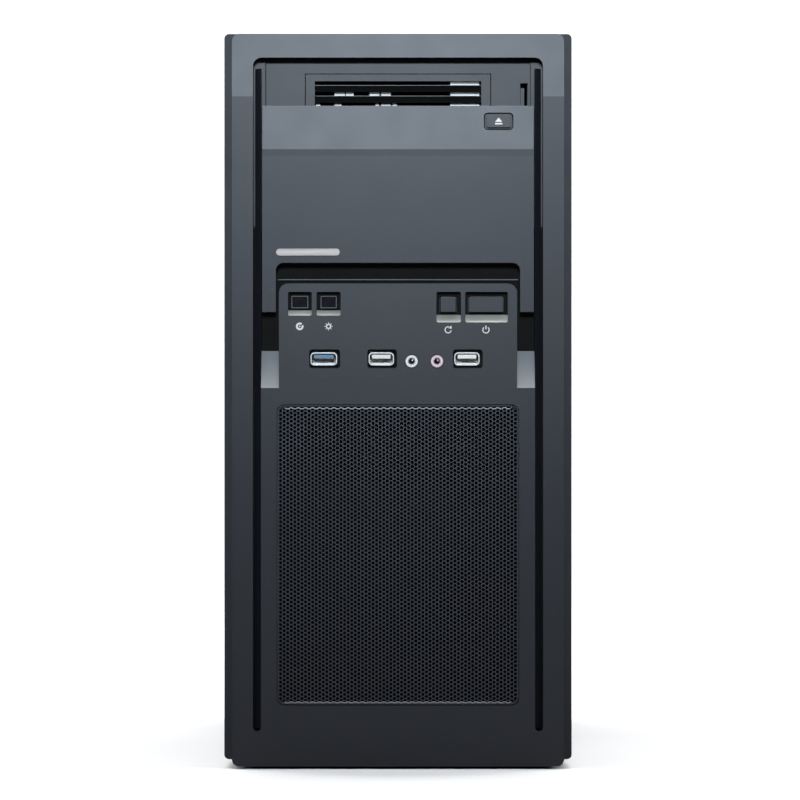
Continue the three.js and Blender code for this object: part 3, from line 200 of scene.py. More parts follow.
def circuit(name, color):
    """Solder mask over copper: thin straight tracks and a faint weave below."""
    nodes = Nodes(name, color, 0.35)
    tracks = nodes.add("ShaderNodeTexBrick", Scale=160.0, Mortar_Size=0.06)
    tracks.inputs["Color1"].default_value = (*color, 1)
    tracks.inputs["Color2"].default_value = (*shade(color, 0.75), 1)
    tracks.inputs["Mortar"].default_value = (*shade(color, 1.8), 1)
    turned = nodes.place()
    turned.inputs["Rotation"].default_value = (0, math.pi / 2, 0)
    nodes.link(turned, "Vector", tracks, "Vector")
    nodes.link(tracks, "Color", nodes.shader, "Base Color")
    nodes.bump(nodes.noise(900, 2), "Fac", 0.1, 0.00005)
    return nodes.material


def smoked(name, color):
    nodes = Nodes(name, color, 0.08)
    nodes.shader.inputs["Coat Weight"].default_value = 0.6
    nodes.shader.inputs["Coat Roughness"].default_value = 0.03
    nodes.vary_color(nodes.noise(300, 2), shade(color, 0.8), shade(color, 1.4))
    return nodes.material


BODY_BLACK = (0.0073, 0.0082, 0.0112)
MATERIALS = {
    "bezel_plastic": moulded("bezel_plastic", BODY_BLACK, 0.37, 0.2, 0.21, 0.4),
    "edge_plastic": moulded("edge_plastic", BODY_BLACK, 0.5, 0.2, 0.2),
    # Painted light: a pale copy of the body's plastic for up-facing ramps, standing in for the light
    # falling on them.
    "painted_lit_ramp": moulded("painted_lit_ramp", (0.140, 0.143, 0.148), 0.4, 0.2, 0.3, 0.4),
    # Painted highlight: rounded edges paler than the body and glossier, so that they show as bright lines.
    "painted_highlight_edge": moulded("painted_highlight_edge", shade(BODY_BLACK, 1.6), 0.25, 0.1, 0.6),
    # Painted light: raised marks in a paler copy of the body's plastic, standing in for the light they
    # catch.
    "painted_lit_mark": moulded("painted_lit_mark", shade(BODY_BLACK, 1.7), 0.4, 0.1, 0.2),
    # Painted shade: near-black for faces deep in the recesses, grooves and louvre, where shadow falls.
    "painted_shade_black": moulded("painted_shade_black", (0.0011, 0.0011, 0.0010), 0.6, 0.2, 0.08),
    # Painted light: a pale copy of the body's plastic for the sills under the buttons, standing in for the
    # light on them.
    "painted_lit_sill": moulded("painted_lit_sill", (0.25, 0.24, 0.215), 0.45, 0.15, 0.3),
    # Painted highlight: pale grey for thin bright lines along window edges, slat edges and the recess
    # ledge.
    "painted_highlight_line": moulded("painted_highlight_line", (0.07, 0.075, 0.085), 0.4, 0.1, 0.3),
    # Painted light: pale card behind the louvre's gaps, standing in for the light that shows through them.
    "painted_light_card": moulded("painted_light_card", (0.85, 0.84, 0.82), 0.7, 0.1, 0.2),
    "dark_plastic": moulded("dark_plastic", (0.014, 0.014, 0.017), 0.38),
    "gloss_window": smoked("gloss_window", (0.006, 0.006, 0.008)),
    "badge_metal": bare_metal("badge_metal", (0.19, 0.172, 0.16), 0.5, (0.03, 1, 1)),
    "mesh_steel": coated_steel("mesh_steel", (0.0135, 0.0142, 0.0195), 0.42, 0.0, 0.2, 0.25),
    "filter_foam": foam("filter_foam", (0.0012, 0.0012, 0.0013)),
    # Painted highlight: a pale copy of the mesh's coating for the bright lines along its top and foot.
    "painted_highlight_mesh_edge": coated_steel("painted_highlight_mesh_edge", (0.16, 0.165, 0.18), 0.4, 0.2, 0.2),
    "port_steel": bare_metal("port_steel", (0.31, 0.30, 0.29), 0.32, (1, 0.1, 1)),
    "gold": bare_metal("gold", (0.83, 0.6, 0.25), 0.25),
    "jack_green": moulded("jack_green", (0.68, 0.65, 0.62), 0.4, 0.1, 0.3),
    "jack_pink": moulded("jack_pink", (0.66, 0.47, 0.50), 0.4, 0.1, 0.3),
    "usb_blue": moulded("usb_blue", (0.065, 0.14, 0.21), 0.4, 0.1, 0.3),
    "usb_white": moulded("usb_white", (0.56, 0.53, 0.50), 0.4, 0.1, 0.3),
    "bore_black": moulded("bore_black", (0.004, 0.004, 0.004), 0.6, 0.1),
    "circuit_board": circuit("circuit_board", (0.012, 0.06, 0.028)),
    "chip_black": moulded("chip_black", (0.012, 0.012, 0.013), 0.45, 0.3),
    "chassis_steel": coated_steel("chassis_steel", (0.022, 0.023, 0.026), 0.48),
    "supply_steel": coated_steel("supply_steel", (0.03, 0.03, 0.032), 0.5),
    "bare_steel": bare_metal("bare_steel", (0.60, 0.61, 0.62), 0.34, (0.05, 1, 1)),
    "screw_steel": coated_steel("screw_steel", (0.03, 0.03, 0.033), 0.35, 0.6),
    "foot_rubber": moulded("foot_rubber", (0.012, 0.012, 0.012), 0.8, 0.5, 0.2),
    "fin_aluminium": bare_metal("fin_aluminium", (0.75, 0.76, 0.78), 0.3, (1, 0.05, 1)),
    "drive_metal": bare_metal("drive_metal", (0.5, 0.51, 0.53), 0.38),
    "fan_plastic": moulded("fan_plastic", (0.012, 0.012, 0.014), 0.4),
    "cable_black": moulded("cable_black", (0.012, 0.012, 0.012), 0.55, 0.4),
    "white_ink": printed("white_ink", (0.46, 0.43, 0.41)),
}
NODE_SLOT = {entry["node"]: entry["material_slot"] for entry in frame["record"]["subparts"]}
NODE_BODY = {
    node: body for body, nodes in frame["record"]["behaviour"]["bodies"].items() for node in nodes
}


# ---- Mesh helpers ----
def new_object(name, mesh, material):
    piece = bpy.data.objects.new(name, mesh)
    SCENE.collection.objects.link(piece)
    if material:
        mesh.materials.append(MATERIALS[material])
    return piece


ARC_ANGLE = math.radians(24)  # faces that meet at more than this have a sharp edge between them
LARGE_FACE = 60 * MM * MM  # two faces over this have a sharp edge at any angle


def mesh_from(bm, name):
    """A mesh shaded smooth round its arcs, with whole flat faces left flat."""
    bmesh.ops.recalc_face_normals(bm, faces=bm.faces)
    area = {face: face.calc_area() for face in bm.faces}
    for edge in bm.edges:
        angle = edge.calc_face_angle(0)
        both_large = all(area[face] > LARGE_FACE for face in edge.link_faces)
        edge.smooth = angle < ARC_ANGLE and not (both_large and angle > math.radians(0.5))
    mesh = bpy.data.meshes.new(name)
    bm.to_mesh(mesh)
    bm.free()
    mesh.shade_smooth()
    return mesh


def bevel(piece, width, segments=2, finish=-1):
    """Rounds the sharp edges, which take the material at place finish, or their neighbours' by -1."""
    modifier = piece.modifiers.new("edges", "BEVEL")
    modifier.material = finish
    modifier.width = width
    modifier.segments = segments
    modifier.limit_method = "ANGLE"
    modifier.angle_limit = math.radians(38)
    modifier.use_clamp_overlap = True
    normals = piece.modifiers.new("flat_faces", "WEIGHTED_NORMAL")
    normals.weight = 100
    normals.keep_sharp = True
    return piece


def add_piece(name, bm, material, body, edge=0.0, segments=2, finish=-1):
    """Turns a bmesh into a piece that rides on a body, with its sharp edges rounded by edge."""
    piece = new_object(name, mesh_from(bm, name), material)
    if edge:
        bevel(piece, edge, segments, finish)
    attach(piece, body)
    return piece


def box_into(bm, low, high):
    made = bmesh.ops.create_cube(bm, size=1)
    middle = (Vector(low) + Vector(high)) / 2
    size = Vector(high) - Vector(low)
    placed = Matrix.Translation(middle) @ Matrix.Diagonal((*size, 1))
    bmesh.ops.transform(bm, verts=made["verts"], matrix=placed)
    return made["verts"]


AXES = {
    "X": (Vector((0, 1, 0)), Vector((0, 0, 1)), Vector((1, 0, 0))),
    "Y": (Vector((1, 0, 0)), Vector((0, 0, 1)), Vector((0, 1, 0))),
    "Z": (Vector((1, 0, 0)), Vector((0, 1, 0)), Vector((0, 0, 1))),
}


def prism_into(bm, points, low, high, axis="Y"):
    """A flat outline, given as pairs across the axis, made solid from low to high along it."""
    u, v, w = AXES[axis]
    near = [bm.verts.new(u * a + v * b + w * low) for a, b in points]
    far = [bm.verts.new(u * a + v * b + w * high) for a, b in points]
    bm.faces.new(near)
    bm.faces.new(list(reversed(far)))
    for index in range(len(points)):
        after = (index + 1) % len(points)
        bm.faces.new((near[index], far[index], far[after], near[after]))


def tube_into(bm, outer, inner, low, high, axis="Y"):
    """The solid between two outlines of as many points, from low to high along the axis."""
    u, v, w = AXES[axis]
    rings = [
        [bm.verts.new(u * a + v * b + w * level) for a, b in outline]
        for outline, level in ((outer, low), (outer, high), (inner, high), (inner, low))
    ]
    count = len(outer)
    for step in range(4):
        this, other = rings[step], rings[(step + 1) % 4]
        for index in range(count):
            after = (index + 1) % count
            bm.faces.new((this[index], this[after], other[after], other[index]))


def rounded(x0, x1, z0, z1, radius, steps=5):
    """The points of a rectangle with round corners."""
    points = []
    corners = ((x1 - radius, z0 + radius, -90), (x1 - radius, z1 - radius, 0),
               (x0 + radius, z1 - radius, 90), (x0 + radius, z0 + radius, 180))
    for cx, cz, start in corners:
        for step in range(steps + 1):
            angle = math.radians(start + 90 * step / steps)
            points.append((cx + radius * math.cos(angle), cz + radius * math.sin(angle)))
    return points


def circle(cx, cz, radius, count=32, start=0.0):
    return [
        (cx + radius * math.cos(start + 2 * math.pi * index / count),
         cz + radius * math.sin(start + 2 * math.pi * index / count))
        for index in range(count)
    ]


def arc_band(cx, cz, inner, outer, start, end, steps=16):
    """The outline of a stretch of a ring, between two angles in degrees."""
    angles = [math.radians(start + (end - start) * step / steps) for step in range(steps + 1)]
    points = [(cx + outer * math.cos(a), cz + outer * math.sin(a)) for a in angles]
    points += [(cx + inner * math.cos(a), cz + inner * math.sin(a)) for a in reversed(angles)]
    return points


# ---- CAD nodes carried over: the same solid with whole faces and rounded edges ----
def refined(node, edge, material=None, segments=2, levels=(), finishes=None, edge_highlight_paint=None):
    """A copy of a CAD node's mesh whose flat faces are whole again, so that its edges can be rounded.

    It is parted at each of the levels, and finishes(face) names another material for a face, or None; on
    the bezel and the louvre these are painted shade and painted light.
    The rounded edges take their own material from the last argument: a paler colour that paints their
    highlight."""
    bm = bmesh.new()
    bm.from_mesh(frame["nodes"][node].data)
    bmesh.ops.remove_doubles(bm, verts=bm.verts, dist=1e-6)
    bmesh.ops.dissolve_limit(
        bm, angle_limit=math.radians(0.3), use_dissolve_boundaries=False, verts=bm.verts, edges=bm.edges,
    )
    for level in levels:
        geometry = list(bm.verts) + list(bm.edges) + list(bm.faces)
        bmesh.ops.bisect_plane(bm, geom=geometry, dist=1e-7, plane_co=(0, 0, level), plane_no=(0, 0, 1))
    extra = []
    if finishes:
        bm.normal_update()
        for face in bm.faces:
            finish = finishes(face)
            if finish:
                if finish not in extra:
                    extra.append(finish)
                face.material_index = 1 + extra.index(finish)
    highlight_place = -1
    if edge_highlight_paint:
        extra.append(edge_highlight_paint)
        highlight_place = len(extra)
    slot = NODE_SLOT[node]
    piece = add_piece(
        node + "_shell", bm, material or slot, NODE_BODY[node], edge, segments, highlight_place,
    )
    for finish in extra:
        piece.data.materials.append(MATERIALS[finish])
    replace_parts(piece, node)
    return piece


# ---- Front intake: a sheet pierced by hexagonal holes on a triangular lattice ----
HOLE_PITCH = 2.25 * MM
HOLE_RADIUS = 0.99 * MM
MESH_SHEET = 0.7 * MM
MESH_CORNER = 4 * MM


def inside_rounded(x, z, half_x, low, high, radius):
    """True where a point lies in a rectangle with round corners, centred on x = 0."""
    dx = abs(x) - (half_x - radius)
    dz = max(low + radius - z, z - (high - radius))
    if dx <= 0 or dz <= 0:
        return abs(x) <= half_x and low <= z <= high
    return math.hypot(dx, dz) <= radius


def perforated(half_x, low, high, radius, front, pitch, hole, thickness, centre_x=0.0):
    """A closed sheet facing -Y whose whole cells each hold one hexagonal hole."""
    cell = pitch / math.sqrt(3)
    column_step = cell * 1.5
    columns = int(half_x / column_step) + 1
    rows = int((high - low) / pitch) + 2
    corners = [(math.cos(math.radians(60 * k)), math.sin(math.radians(60 * k))) for k in range(6)]
    verts, faces, shared = [], [], {}

    def vertex(x, y, z, key=None):
        if key is not None and key in shared:
            return shared[key]
        verts.append((x, y, z))
        if key is not None:
            shared[key] = len(verts) - 1
        return len(verts) - 1

    for column in range(-columns, columns + 1):
        for row in range(rows):
            x = column * column_step
            z = low + (row + (column % 2) / 2) * pitch
            rim = [(x + cell * a, z + cell * b) for a, b in corners]
            if not all(inside_rounded(px, pz, half_x, low, high, radius) for px, pz in rim):
                continue
            layers = []
            for y in (front, front + thickness):
                layers.append([
                    vertex(px + centre_x, y, pz, (round(px * 1e6), round(y * 1e6), round(pz * 1e6)))
                    for px, pz in rim
                ])
                layers.append([vertex(x + hole * a + centre_x, y, z + hole * b) for a, b in corners])
            outer_front, inner_front, outer_back, inner_back = layers
            for k in range(6):
                n = (k + 1) % 6
                faces.append((outer_front[k], outer_front[n], inner_front[n], inner_front[k]))
                faces.append((outer_back[n], outer_back[k], inner_back[k], inner_back[n]))
                faces.append((inner_front[k], inner_front[n], inner_back[n], inner_back[k]))
    used = Counter()
    for face in faces:
        for k, start in enumerate(face):
            used[(start, face[(k + 1) % 4])] += 1
    back_of = {}
    for (x, y, z), index in shared.items():
        if y == round(front * 1e6):
            back_of[index] = shared[(x, round((front + thickness) * 1e6), z)]
    for (start, end) in [edge for edge in used if (edge[1], edge[0]) not in used]:
        if start in back_of and end in back_of:
            faces.append((end, start, back_of[start], back_of[end]))
    mesh = bpy.data.meshes.new("perforated")
    mesh.from_pydata(verts, [], faces)
    mesh.validate()
    return mesh


MESH_HALF = MESH_HIGH.x - MESH_FLANGE
SHEET_LOW = MESH_LOW.z + MESH_FLANGE
SHEET_HIGH = MESH_HIGH.z - MESH_FLANGE
SHEET_FACE = FRONT_Y + 0.9 * MM


def mesh_sheet():
    """The pierced sheet itself."""
    sheet = new_object(
        "front_mesh_sheet",
        perforated(
            MESH_HALF, SHEET_LOW, SHEET_HIGH, MESH_CORNER, SHEET_FACE, HOLE_PITCH, HOLE_RADIUS, MESH_SHEET,
        ),
        "mesh_steel",
    )
    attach(sheet, "chassis")
    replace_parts(sheet, "front_mesh")


def mesh_rim():
    """The frame round the sheet and the flange behind the bezel."""
    lip = 0.9 * MM
    flange_face = FRONT_Y + 2.9 * MM
    inner = rounded(
        -MESH_HALF + lip, MESH_HALF - lip, SHEET_LOW + lip, SHEET_HIGH - lip, MESH_CORNER - lip,
    )
    frame_outline = rounded(-MESH_HALF, MESH_HALF, SHEET_LOW, SHEET_HIGH, MESH_CORNER)
    flange_outline = rounded(-MESH_HIGH.x, MESH_HIGH.x, MESH_LOW.z, MESH_HIGH.z, 5 * MM)
    bm = bmesh.new()
    tube_into(bm, frame_outline, inner, FRONT_Y + 0.7 * MM, MESH_LOW.y + 2.9 * MM)
    tube_into(bm, flange_outline, inner, flange_face, MESH_HIGH.y)
    add_piece("front_mesh_rim", bm, "mesh_steel", "chassis", 0.25 * MM)


def mesh_edge_highlights():
    """The sheet's wavy top and foot, which follow its rows of holes: pale strips that paint the highlight
    they catch.
    """
    wave = HOLE_PITCH * math.sqrt(3)
    steps = 240
    half = MESH_HALF - MESH_CORNER
    line = [-half + 2 * half * step / steps for step in range(steps + 1)]
    bm = bmesh.new()
    for level in (SHEET_HIGH - 1.6 * MM, SHEET_LOW + 1.6 * MM):
        crest = [(x, level + 0.3 * MM * math.cos(2 * math.pi * x / wave)) for x in line]
        outline = crest + [(x, z - 0.5 * MM) for x, z in reversed(crest)]
        prism_into(bm, outline, SHEET_FACE - 0.15 * MM, SHEET_FACE)
    add_piece("front_mesh_edge_highlight", bm, "painted_highlight_mesh_edge", "chassis", 0)


mesh_sheet()
mesh_rim()
mesh_edge_highlights()

# ---- Moulded front, door and covers ----
BLOCK_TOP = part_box("front_io_board")[1].z + 2.4 * MM
BAY_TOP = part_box("bay_cover_upper")[1].z + 0.3 * MM
ARCH_TOP = BLOCK_TOP + 11.3 * MM
COVERS_FOOT = ARCH_TOP + 20 * MM  # the two bay covers lie between this and BAY_TOP
OPENING_HALF = DOOR_HIGH.x + 4.9 * MM
SIDE_STRIP = 4.4 * MM  # the bezel's darker outer edges
# Faces in the opening deeper than this are painted black as shade, or paler as painted light where they
# face up.
SHADE_PAINT_DEPTH = 1.2 * MM  # faces further back than this from the front are inside a recess


def bezel_finish_and_painted_shading(face):
    """Satin outer edges; black inside the recesses and grooves as painted shade; paler on their up-facing
    slopes and sills as painted light.
    """
    middle = face.calc_center_median()
    if abs(middle.x) > BEZEL_HIGH.x - SIDE_STRIP:
        return "edge_plastic"
    inside = abs(middle.x) < OPENING_HALF + 0.1 * MM and middle.z < BAY_TOP + 4 * MM
    if not inside or middle.y < FRONT_Y + SHADE_PAINT_DEPTH:
        return None
    # Up-facing slopes and sills: a paler colour that paints the light falling on them.
    if face.normal.z > 0.25 and face.normal.y < -0.1:
        is_sill = middle.z > BLOCK_TOP - 30 * MM and abs(middle.x) < DOOR_HIGH.x - 12 * MM
        return "painted_lit_sill" if is_sill else "painted_lit_ramp"
    if abs(face.normal.x) > 0.3 and face.normal.y < -0.2:
        return None
    beside_covers = COVERS_FOOT < middle.z < BAY_TOP
    # Everything else deep in the opening is painted black as shade.
    return None if beside_covers and face.normal.y < -0.9 else "painted_shade_black"


refined("front_bezel", 0.6 * MM, levels=(COVERS_FOOT, BAY_TOP), finishes=bezel_finish_and_painted_shading,
        edge_highlight_paint="painted_highlight_edge")
refined("sliding_door", 0.5 * MM, edge_highlight_paint="painted_highlight_edge")
refined("bay_cover_upper", 0.25 * MM, "bezel_plastic")
refined("bay_cover_lower", 0.25 * MM, "bezel_plastic")
INSERT_LOW, INSERT_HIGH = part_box("louvre_insert")
LOUVRE_TOP = INSERT_HIGH.z - 3.8 * MM
LOUVRE_HALF = 45.6 * MM


def insert_painted_shade(face):
    """The louvre's slats and everything behind the insert's front are painted black as shade."""
    middle = face.calc_center_median()
    return "painted_shade_black" if middle.y > INSERT_LOW.y + 0.5 * MM else None


refined("louvre_insert", 0.2 * MM, "bezel_plastic", finishes=insert_painted_shade)
for button in ("power_button", "reset_button", "eject_button"):
    refined(button, 0.35 * MM, "bezel_plastic", edge_highlight_paint="painted_highlight_edge")
refined("drive_led_window", 0.2 * MM)
refined("power_led_window", 0.2 * MM)
refined("door_badge", 0.12 * MM)

# ---- Chassis ----
for steel_node in ("chassis_base", "chassis_front", "chassis_rear", "chassis_top", "motherboard_tray",
                   "drive_cage", "left_side_panel", "right_side_panel"):
    refined(steel_node, 0.3 * MM)
USB_TONGUES = {"usb3_port": "usb_blue", "usb2_port_left": "usb_white", "usb2_port_right": "usb_white"}
JACK_COLLARS = {"headphone_jack": "jack_green", "microphone_jack": "jack_pink"}
BOARD_HIGH_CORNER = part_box("motherboard")[1]
BOARD_DEPTH = 7.8 * MM  # from the ends of its stand-offs to just past the face that carries the chips


def is_rear_port(face):
    """True for the end of a socket that stands in the rear shield."""
    return face.normal.y > 0.9 and face.calc_center_median().y > BOARD_HIGH_CORNER.y - 0.5 * MM


def board_finish(face):
    """Black sockets and chips on the green board."""
    middle = face.calc_center_median()
    on_board = middle.x > BOARD_HIGH_CORNER.x - BOARD_DEPTH and abs(face.normal.x) > 0.9
    return None if on_board else "chip_black"


def rear_port_ends():
    """The end of each rear socket as z0, x0, x1, z1, from the lowest up."""
    bm = bmesh.new()
    bm.from_mesh(frame["nodes"]["motherboard"].data)
    bmesh.ops.remove_doubles(bm, verts=bm.verts, dist=1e-6)
    bmesh.ops.dissolve_limit(bm, angle_limit=math.radians(0.3), verts=bm.verts, edges=bm.edges)
    bm.normal_update()
    ends = []
    for face in filter(is_rear_port, bm.faces):
        xs = [vert.co.x for vert in face.verts]
        zs = [vert.co.z for vert in face.verts]
        ends.append((min(zs), min(xs), max(xs), max(zs)))
    bm.free()
    return sorted(ends)


def rear_ports():
    """A plated shell round each rear socket, and a coloured collar in each of the two lowest."""
    ends = rear_port_ends()
    jack_ends, socket_ends = ends[:2], ends[2:]
    near = BOARD_HIGH_CORNER.y + 0.05 * MM
    wall = 0.9 * MM
    tongue_half = 1 * MM
    tongue_margin = 2.4 * MM
    longest_with_tongue = 20 * MM
    bm = bmesh.new()
    for z0, x0, x1, z1 in socket_ends:
        outer = rounded(x0, x1, z0, z1, 0.6 * MM, 2)
        inner = rounded(x0 + wall, x1 - wall, z0 + wall, z1 - wall, 0.3 * MM, 2)
        tube_into(bm, outer, inner, near, near + 0.75 * MM)
        if z1 - z0 < longest_with_tongue:
            middle = (x0 + x1) / 2
            low = (middle - tongue_half, near, z0 + tongue_margin)
            high = (middle + tongue_half, near + 0.35 * MM, z1 - tongue_margin)
            box_into(bm, low, high)
    add_piece("rear_port_shells", bm, "port_steel", "chassis", 0.1 * MM)
    for (z0, x0, x1, z1), color in zip(jack_ends, JACK_COLLARS.values()):
        x, z = (x0 + x1) / 2, (z0 + z1) / 2
        bm = bmesh.new()
        tube_into(bm, circle(x, z, 3.6 * MM), circle(x, z, 1.8 * MM), near, near + 0.85 * MM)
        add_piece("rear_" + color + "_collar", bm, color, "chassis", 0.2 * MM)


refined("motherboard", 0.25 * MM, finishes=board_finish)
rear_ports()
REPLACED = {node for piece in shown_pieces() for node in piece.get("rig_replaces", [])}
for other_node in sorted(set(frame["nodes"]) - REPLACED - set(USB_TONGUES) - set(JACK_COLLARS)):
    refined(other_node, 0.25 * MM)


# ---- Ports in the block ----
USB_WALL = 0.7 * MM
USB_INSET = USB_WALL + 0.35 * MM  # the shell's wall and its flare
USB_CORNER = 2.3 * MM
TONGUE_THICKNESS = 2.2 * MM
CONTACT_PITCH = 2.2 * MM


def usb_shell(node, low, high):
    outer = rounded(low.x, high.x, low.z, high.z, USB_CORNER, 3)
    inner_corner = USB_CORNER - USB_INSET
    inner = rounded(
        low.x + USB_INSET, high.x - USB_INSET, low.z + USB_INSET, high.z - USB_INSET, inner_corner, 3,
    )
    bm = bmesh.new()
    tube_into(bm, outer, inner, low.y, high.y - 1.5 * MM)
    prism_into(bm, outer, high.y - 1.4 * MM, high.y)
    shell = add_piece(node + "_shell", bm, "port_steel", "chassis", 0.3 * MM)
    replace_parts(shell, node)


def usb_springs(node, low, high, middle_x, half):
    """A lip along the foot of the mouth and four leaf springs, two above and two below."""
    bm = bmesh.new()
    foot = low.z + USB_INSET
    lip_front = low.y + 0.4 * MM
    lip_back = low.y + 4 * MM
    lip = [
        (lip_front, foot - 0.2 * MM), (lip_back, foot - 0.2 * MM),
        (lip_back, foot + 0.9 * MM), (lip_front, foot + 0.6 * MM),
    ]
    prism_into(bm, lip, middle_x - half, middle_x + half, "X")
    start = lip_back + 0.2 * MM
    end = low.y + 9 * MM
    for x in (middle_x - 3.2 * MM, middle_x + 3.2 * MM):
        for z, inward in ((high.z - USB_WALL, -MM), (low.z + USB_WALL, MM)):
            points = [
                (start, z + 0.05 * inward), (low.y + 7 * MM, z + 0.55 * inward), (end, z + 0.1 * inward),
                (end, z - 0.2 * inward), (start, z - 0.2 * inward),
            ]
            prism_into(bm, points, x - 0.8 * MM, x + 0.8 * MM, "X")
    add_piece(node + "_springs", bm, "port_steel", "chassis")


def usb_port(node, tongue_material):
    """A flared shell with its tongue, its contacts, its lower lip and the springs that grip a plug."""
    low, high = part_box(node)
    middle_x = (low.x + high.x) / 2
    half = (high.x - low.x) / 2 - 2 * MM
    tongue_high = high.z - USB_INSET - 0.4 * MM
    tongue_low = tongue_high - TONGUE_THICKNESS
    usb_shell(node, low, high)
    bm = bmesh.new()
    near = (middle_x - half, low.y + 0.5 * MM, tongue_low)
    far = (middle_x + half, high.y - 1.6 * MM, tongue_high)
    box_into(bm, near, far)
    add_piece(node + "_tongue", bm, tongue_material, "chassis", 0.2 * MM)
    bm = bmesh.new()
    for step in (-1.5, -0.5, 0.5, 1.5):
        x = middle_x + step * CONTACT_PITCH
        near = (x - 0.5 * MM, low.y + 2 * MM, tongue_low - 0.12 * MM)
        box_into(bm, near, (x + 0.5 * MM, high.y - 3 * MM, tongue_low))
    add_piece(node + "_contacts", bm, "gold", "chassis", 0)
    usb_springs(node, low, high, middle_x, half)


def audio_jack(node, material):
    """A thick coloured collar round a plated bush, with a contact inside and black behind."""
    low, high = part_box(node)
    x = (low.x + high.x) / 2
    z = (low.z + high.z) / 2
    bm = bmesh.new()
    tube_into(bm, circle(x, z, 3.5 * MM, 40), circle(x, z, 1.95 * MM, 40), low.y, low.y + 4 * MM)
    collar = add_piece(node + "_collar", bm, material, "chassis", 0.5 * MM, 3)
    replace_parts(collar, node)
    bm = bmesh.new()
    tube_into(bm, circle(x, z, 1.9 * MM, 40), circle(x, z, 1.6 * MM, 40), low.y + 1.4 * MM, high.y - 2 * MM)
    box_into(bm, (x, low.y + 2.6 * MM, z + 0.1 * MM), (x + 0.8 * MM, low.y + 8 * MM, z + 1.1 * MM))
    add_piece(node + "_bush", bm, "port_steel", "chassis", 0.1 * MM)
    bm = bmesh.new()
    prism_into(bm, rounded(low.x, high.x, low.z, high.z, 0.5 * MM, 2), low.y + 11 * MM, high.y)
    tube_into(
        bm, rounded(low.x, high.x, low.z, high.z, 0.5 * MM, 7), circle_matched(x, z, 2.5 * MM, 32),
        low.y + 4.1 * MM, low.y + 10.9 * MM,
    )
    add_piece(node + "_housing", bm, "bore_black", "chassis", 0)


def circle_matched(cx, cz, radius, count):
    """A circle whose points start where rounded() starts, so that the two can be joined into a tube."""
    return circle(cx, cz, radius, count, math.radians(-55))


for port, tongue in USB_TONGUES.items():
    usb_port(port, tongue)
for jack, collar in JACK_COLLARS.items():
    audio_jack(jack, collar)


# ---- Printed and moulded marks: plain shapes that stand for what each thing does ----
INK = 0.06 * MM
EMBOSS = 0.12 * MM
LED_MARK_Z = BLOCK_TOP - 23.5 * MM
BUTTON_MARK_Z = BLOCK_TOP - 25.4 * MM
PORT_MARK_Z = BLOCK_TOP - 50.6 * MM


def front_of(node, x, z):
    """How far back a CAD node's surface is, seen from the front."""
    mesh = frame["nodes"][node].data
    tree = BVHTree.FromPolygons([v.co for v in mesh.vertices], [p.vertices for p in mesh.polygons])
    return tree.ray_cast(Vector((x, FRONT_Y - 50 * MM, z)), Vector((0, 1, 0)))[0].y


def middle_of(node):
    low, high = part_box(node)
    return (low.x + high.x) / 2, (low.z + high.z) / 2


def mark(name, outlines, node, x, z, material="white_ink", height=INK):
    """Low flat shapes on a node's front, their outlines in millimetres about x and z."""
    face = front_of(node, x, z)
    bm = bmesh.new()
    for outline in outlines:
        prism_into(bm, [(x + a * MM, z + b * MM) for a, b in outline], face - height, face + height)
    return add_piece(name, bm, material, NODE_BODY[node])


def bar(x0, x1, z0, z1):
    return [(x0, z0), (x1, z0), (x1, z1), (x0, z1)]


def turned(outline, degrees):
    c, s = math.cos(math.radians(degrees)), math.sin(math.radians(degrees))
    return [(a * c - b * s, a * s + b * c) for a, b in outline]


def block_mark(name, outlines, below, mark_z, **look):
    """A mark on the port block, straight below the node that it stands for."""
    mark(name, outlines, "front_bezel", middle_of(below)[0], mark_z, **look)


def light_marks():
    """A notched disc for the drive and a ring with rays for the power light."""
    block_mark(
        "drive_mark", [arc_band(0, 0, 1.05, 2.1, 50, 380, 20), circle(0, 0, 0.45, 12)],
        "drive_led_window", LED_MARK_Z,
    )
    rays = [turned(bar(-0.22, 0.22, 1.65, 2.2), 45 * k) for k in range(8)]
    rings = [arc_band(0, 0, 0.8, 1.45, start, start + 180, 10) for start in (0, 180)]
    block_mark("power_light_mark", rings + rays, "power_led_window", LED_MARK_Z)


def button_marks():
    """A turning arrow, an open ring with a bar, and a triangle over a bar."""
    arrow = [(0.2, 0.9), (2.0, 0.6), (1.7, 2.4)]
    block_mark(
        "reset_mark", [arc_band(0, 0, 1.4, 1.95, 75, 350, 18), arrow], "reset_button", BUTTON_MARK_Z,
    )
    block_mark(
        "power_mark", [arc_band(0, 0, 1.45, 2.0, 130, 410, 18), bar(-0.28, 0.28, 0.3, 2.3)],
        "power_button", BUTTON_MARK_Z,
    )
    x, z = middle_of("eject_button")
    mark("eject_mark", [[(-2, -0.3), (2, -0.3), (0, 2)], bar(-2, 2, -1.7, -0.9)], "eject_button", x, z)


def port_marks():
    """Raised marks, painted paler than the block's plastic as the light they catch: a plug, a pair of
    headphones and a microphone.
    """
    raised = {"material": "painted_lit_mark", "height": EMBOSS}
    plug = [rounded(-2.2, 0.6, -0.9, 0.9, 0.3, 2), bar(0.7, 1.7, -0.6, 0.6), bar(-4.0, -2.2, -0.15, 0.15)]
    for port in USB_TONGUES:
        block_mark(port + "_mark", plug, port, PORT_MARK_Z, **raised)
    phones = [
        arc_band(0, 0, 1.3, 1.6, 0, 180, 12), rounded(-1.9, -1.1, -1.2, 0, 0.2, 2),
        rounded(1.1, 1.9, -1.2, 0, 0.2, 2),
    ]
    block_mark("headphone_mark", phones, "headphone_jack", PORT_MARK_Z, **raised)
    voice = [
        rounded(-0.55, 0.55, -0.3, 1.6, 0.5, 4), arc_band(0, 0.3, 0.95, 1.2, 180, 360, 12),
        bar(-0.12, 0.12, -1.6, -0.8),
    ]
    block_mark("microphone_mark", voice, "microphone_jack", PORT_MARK_Z, **raised)


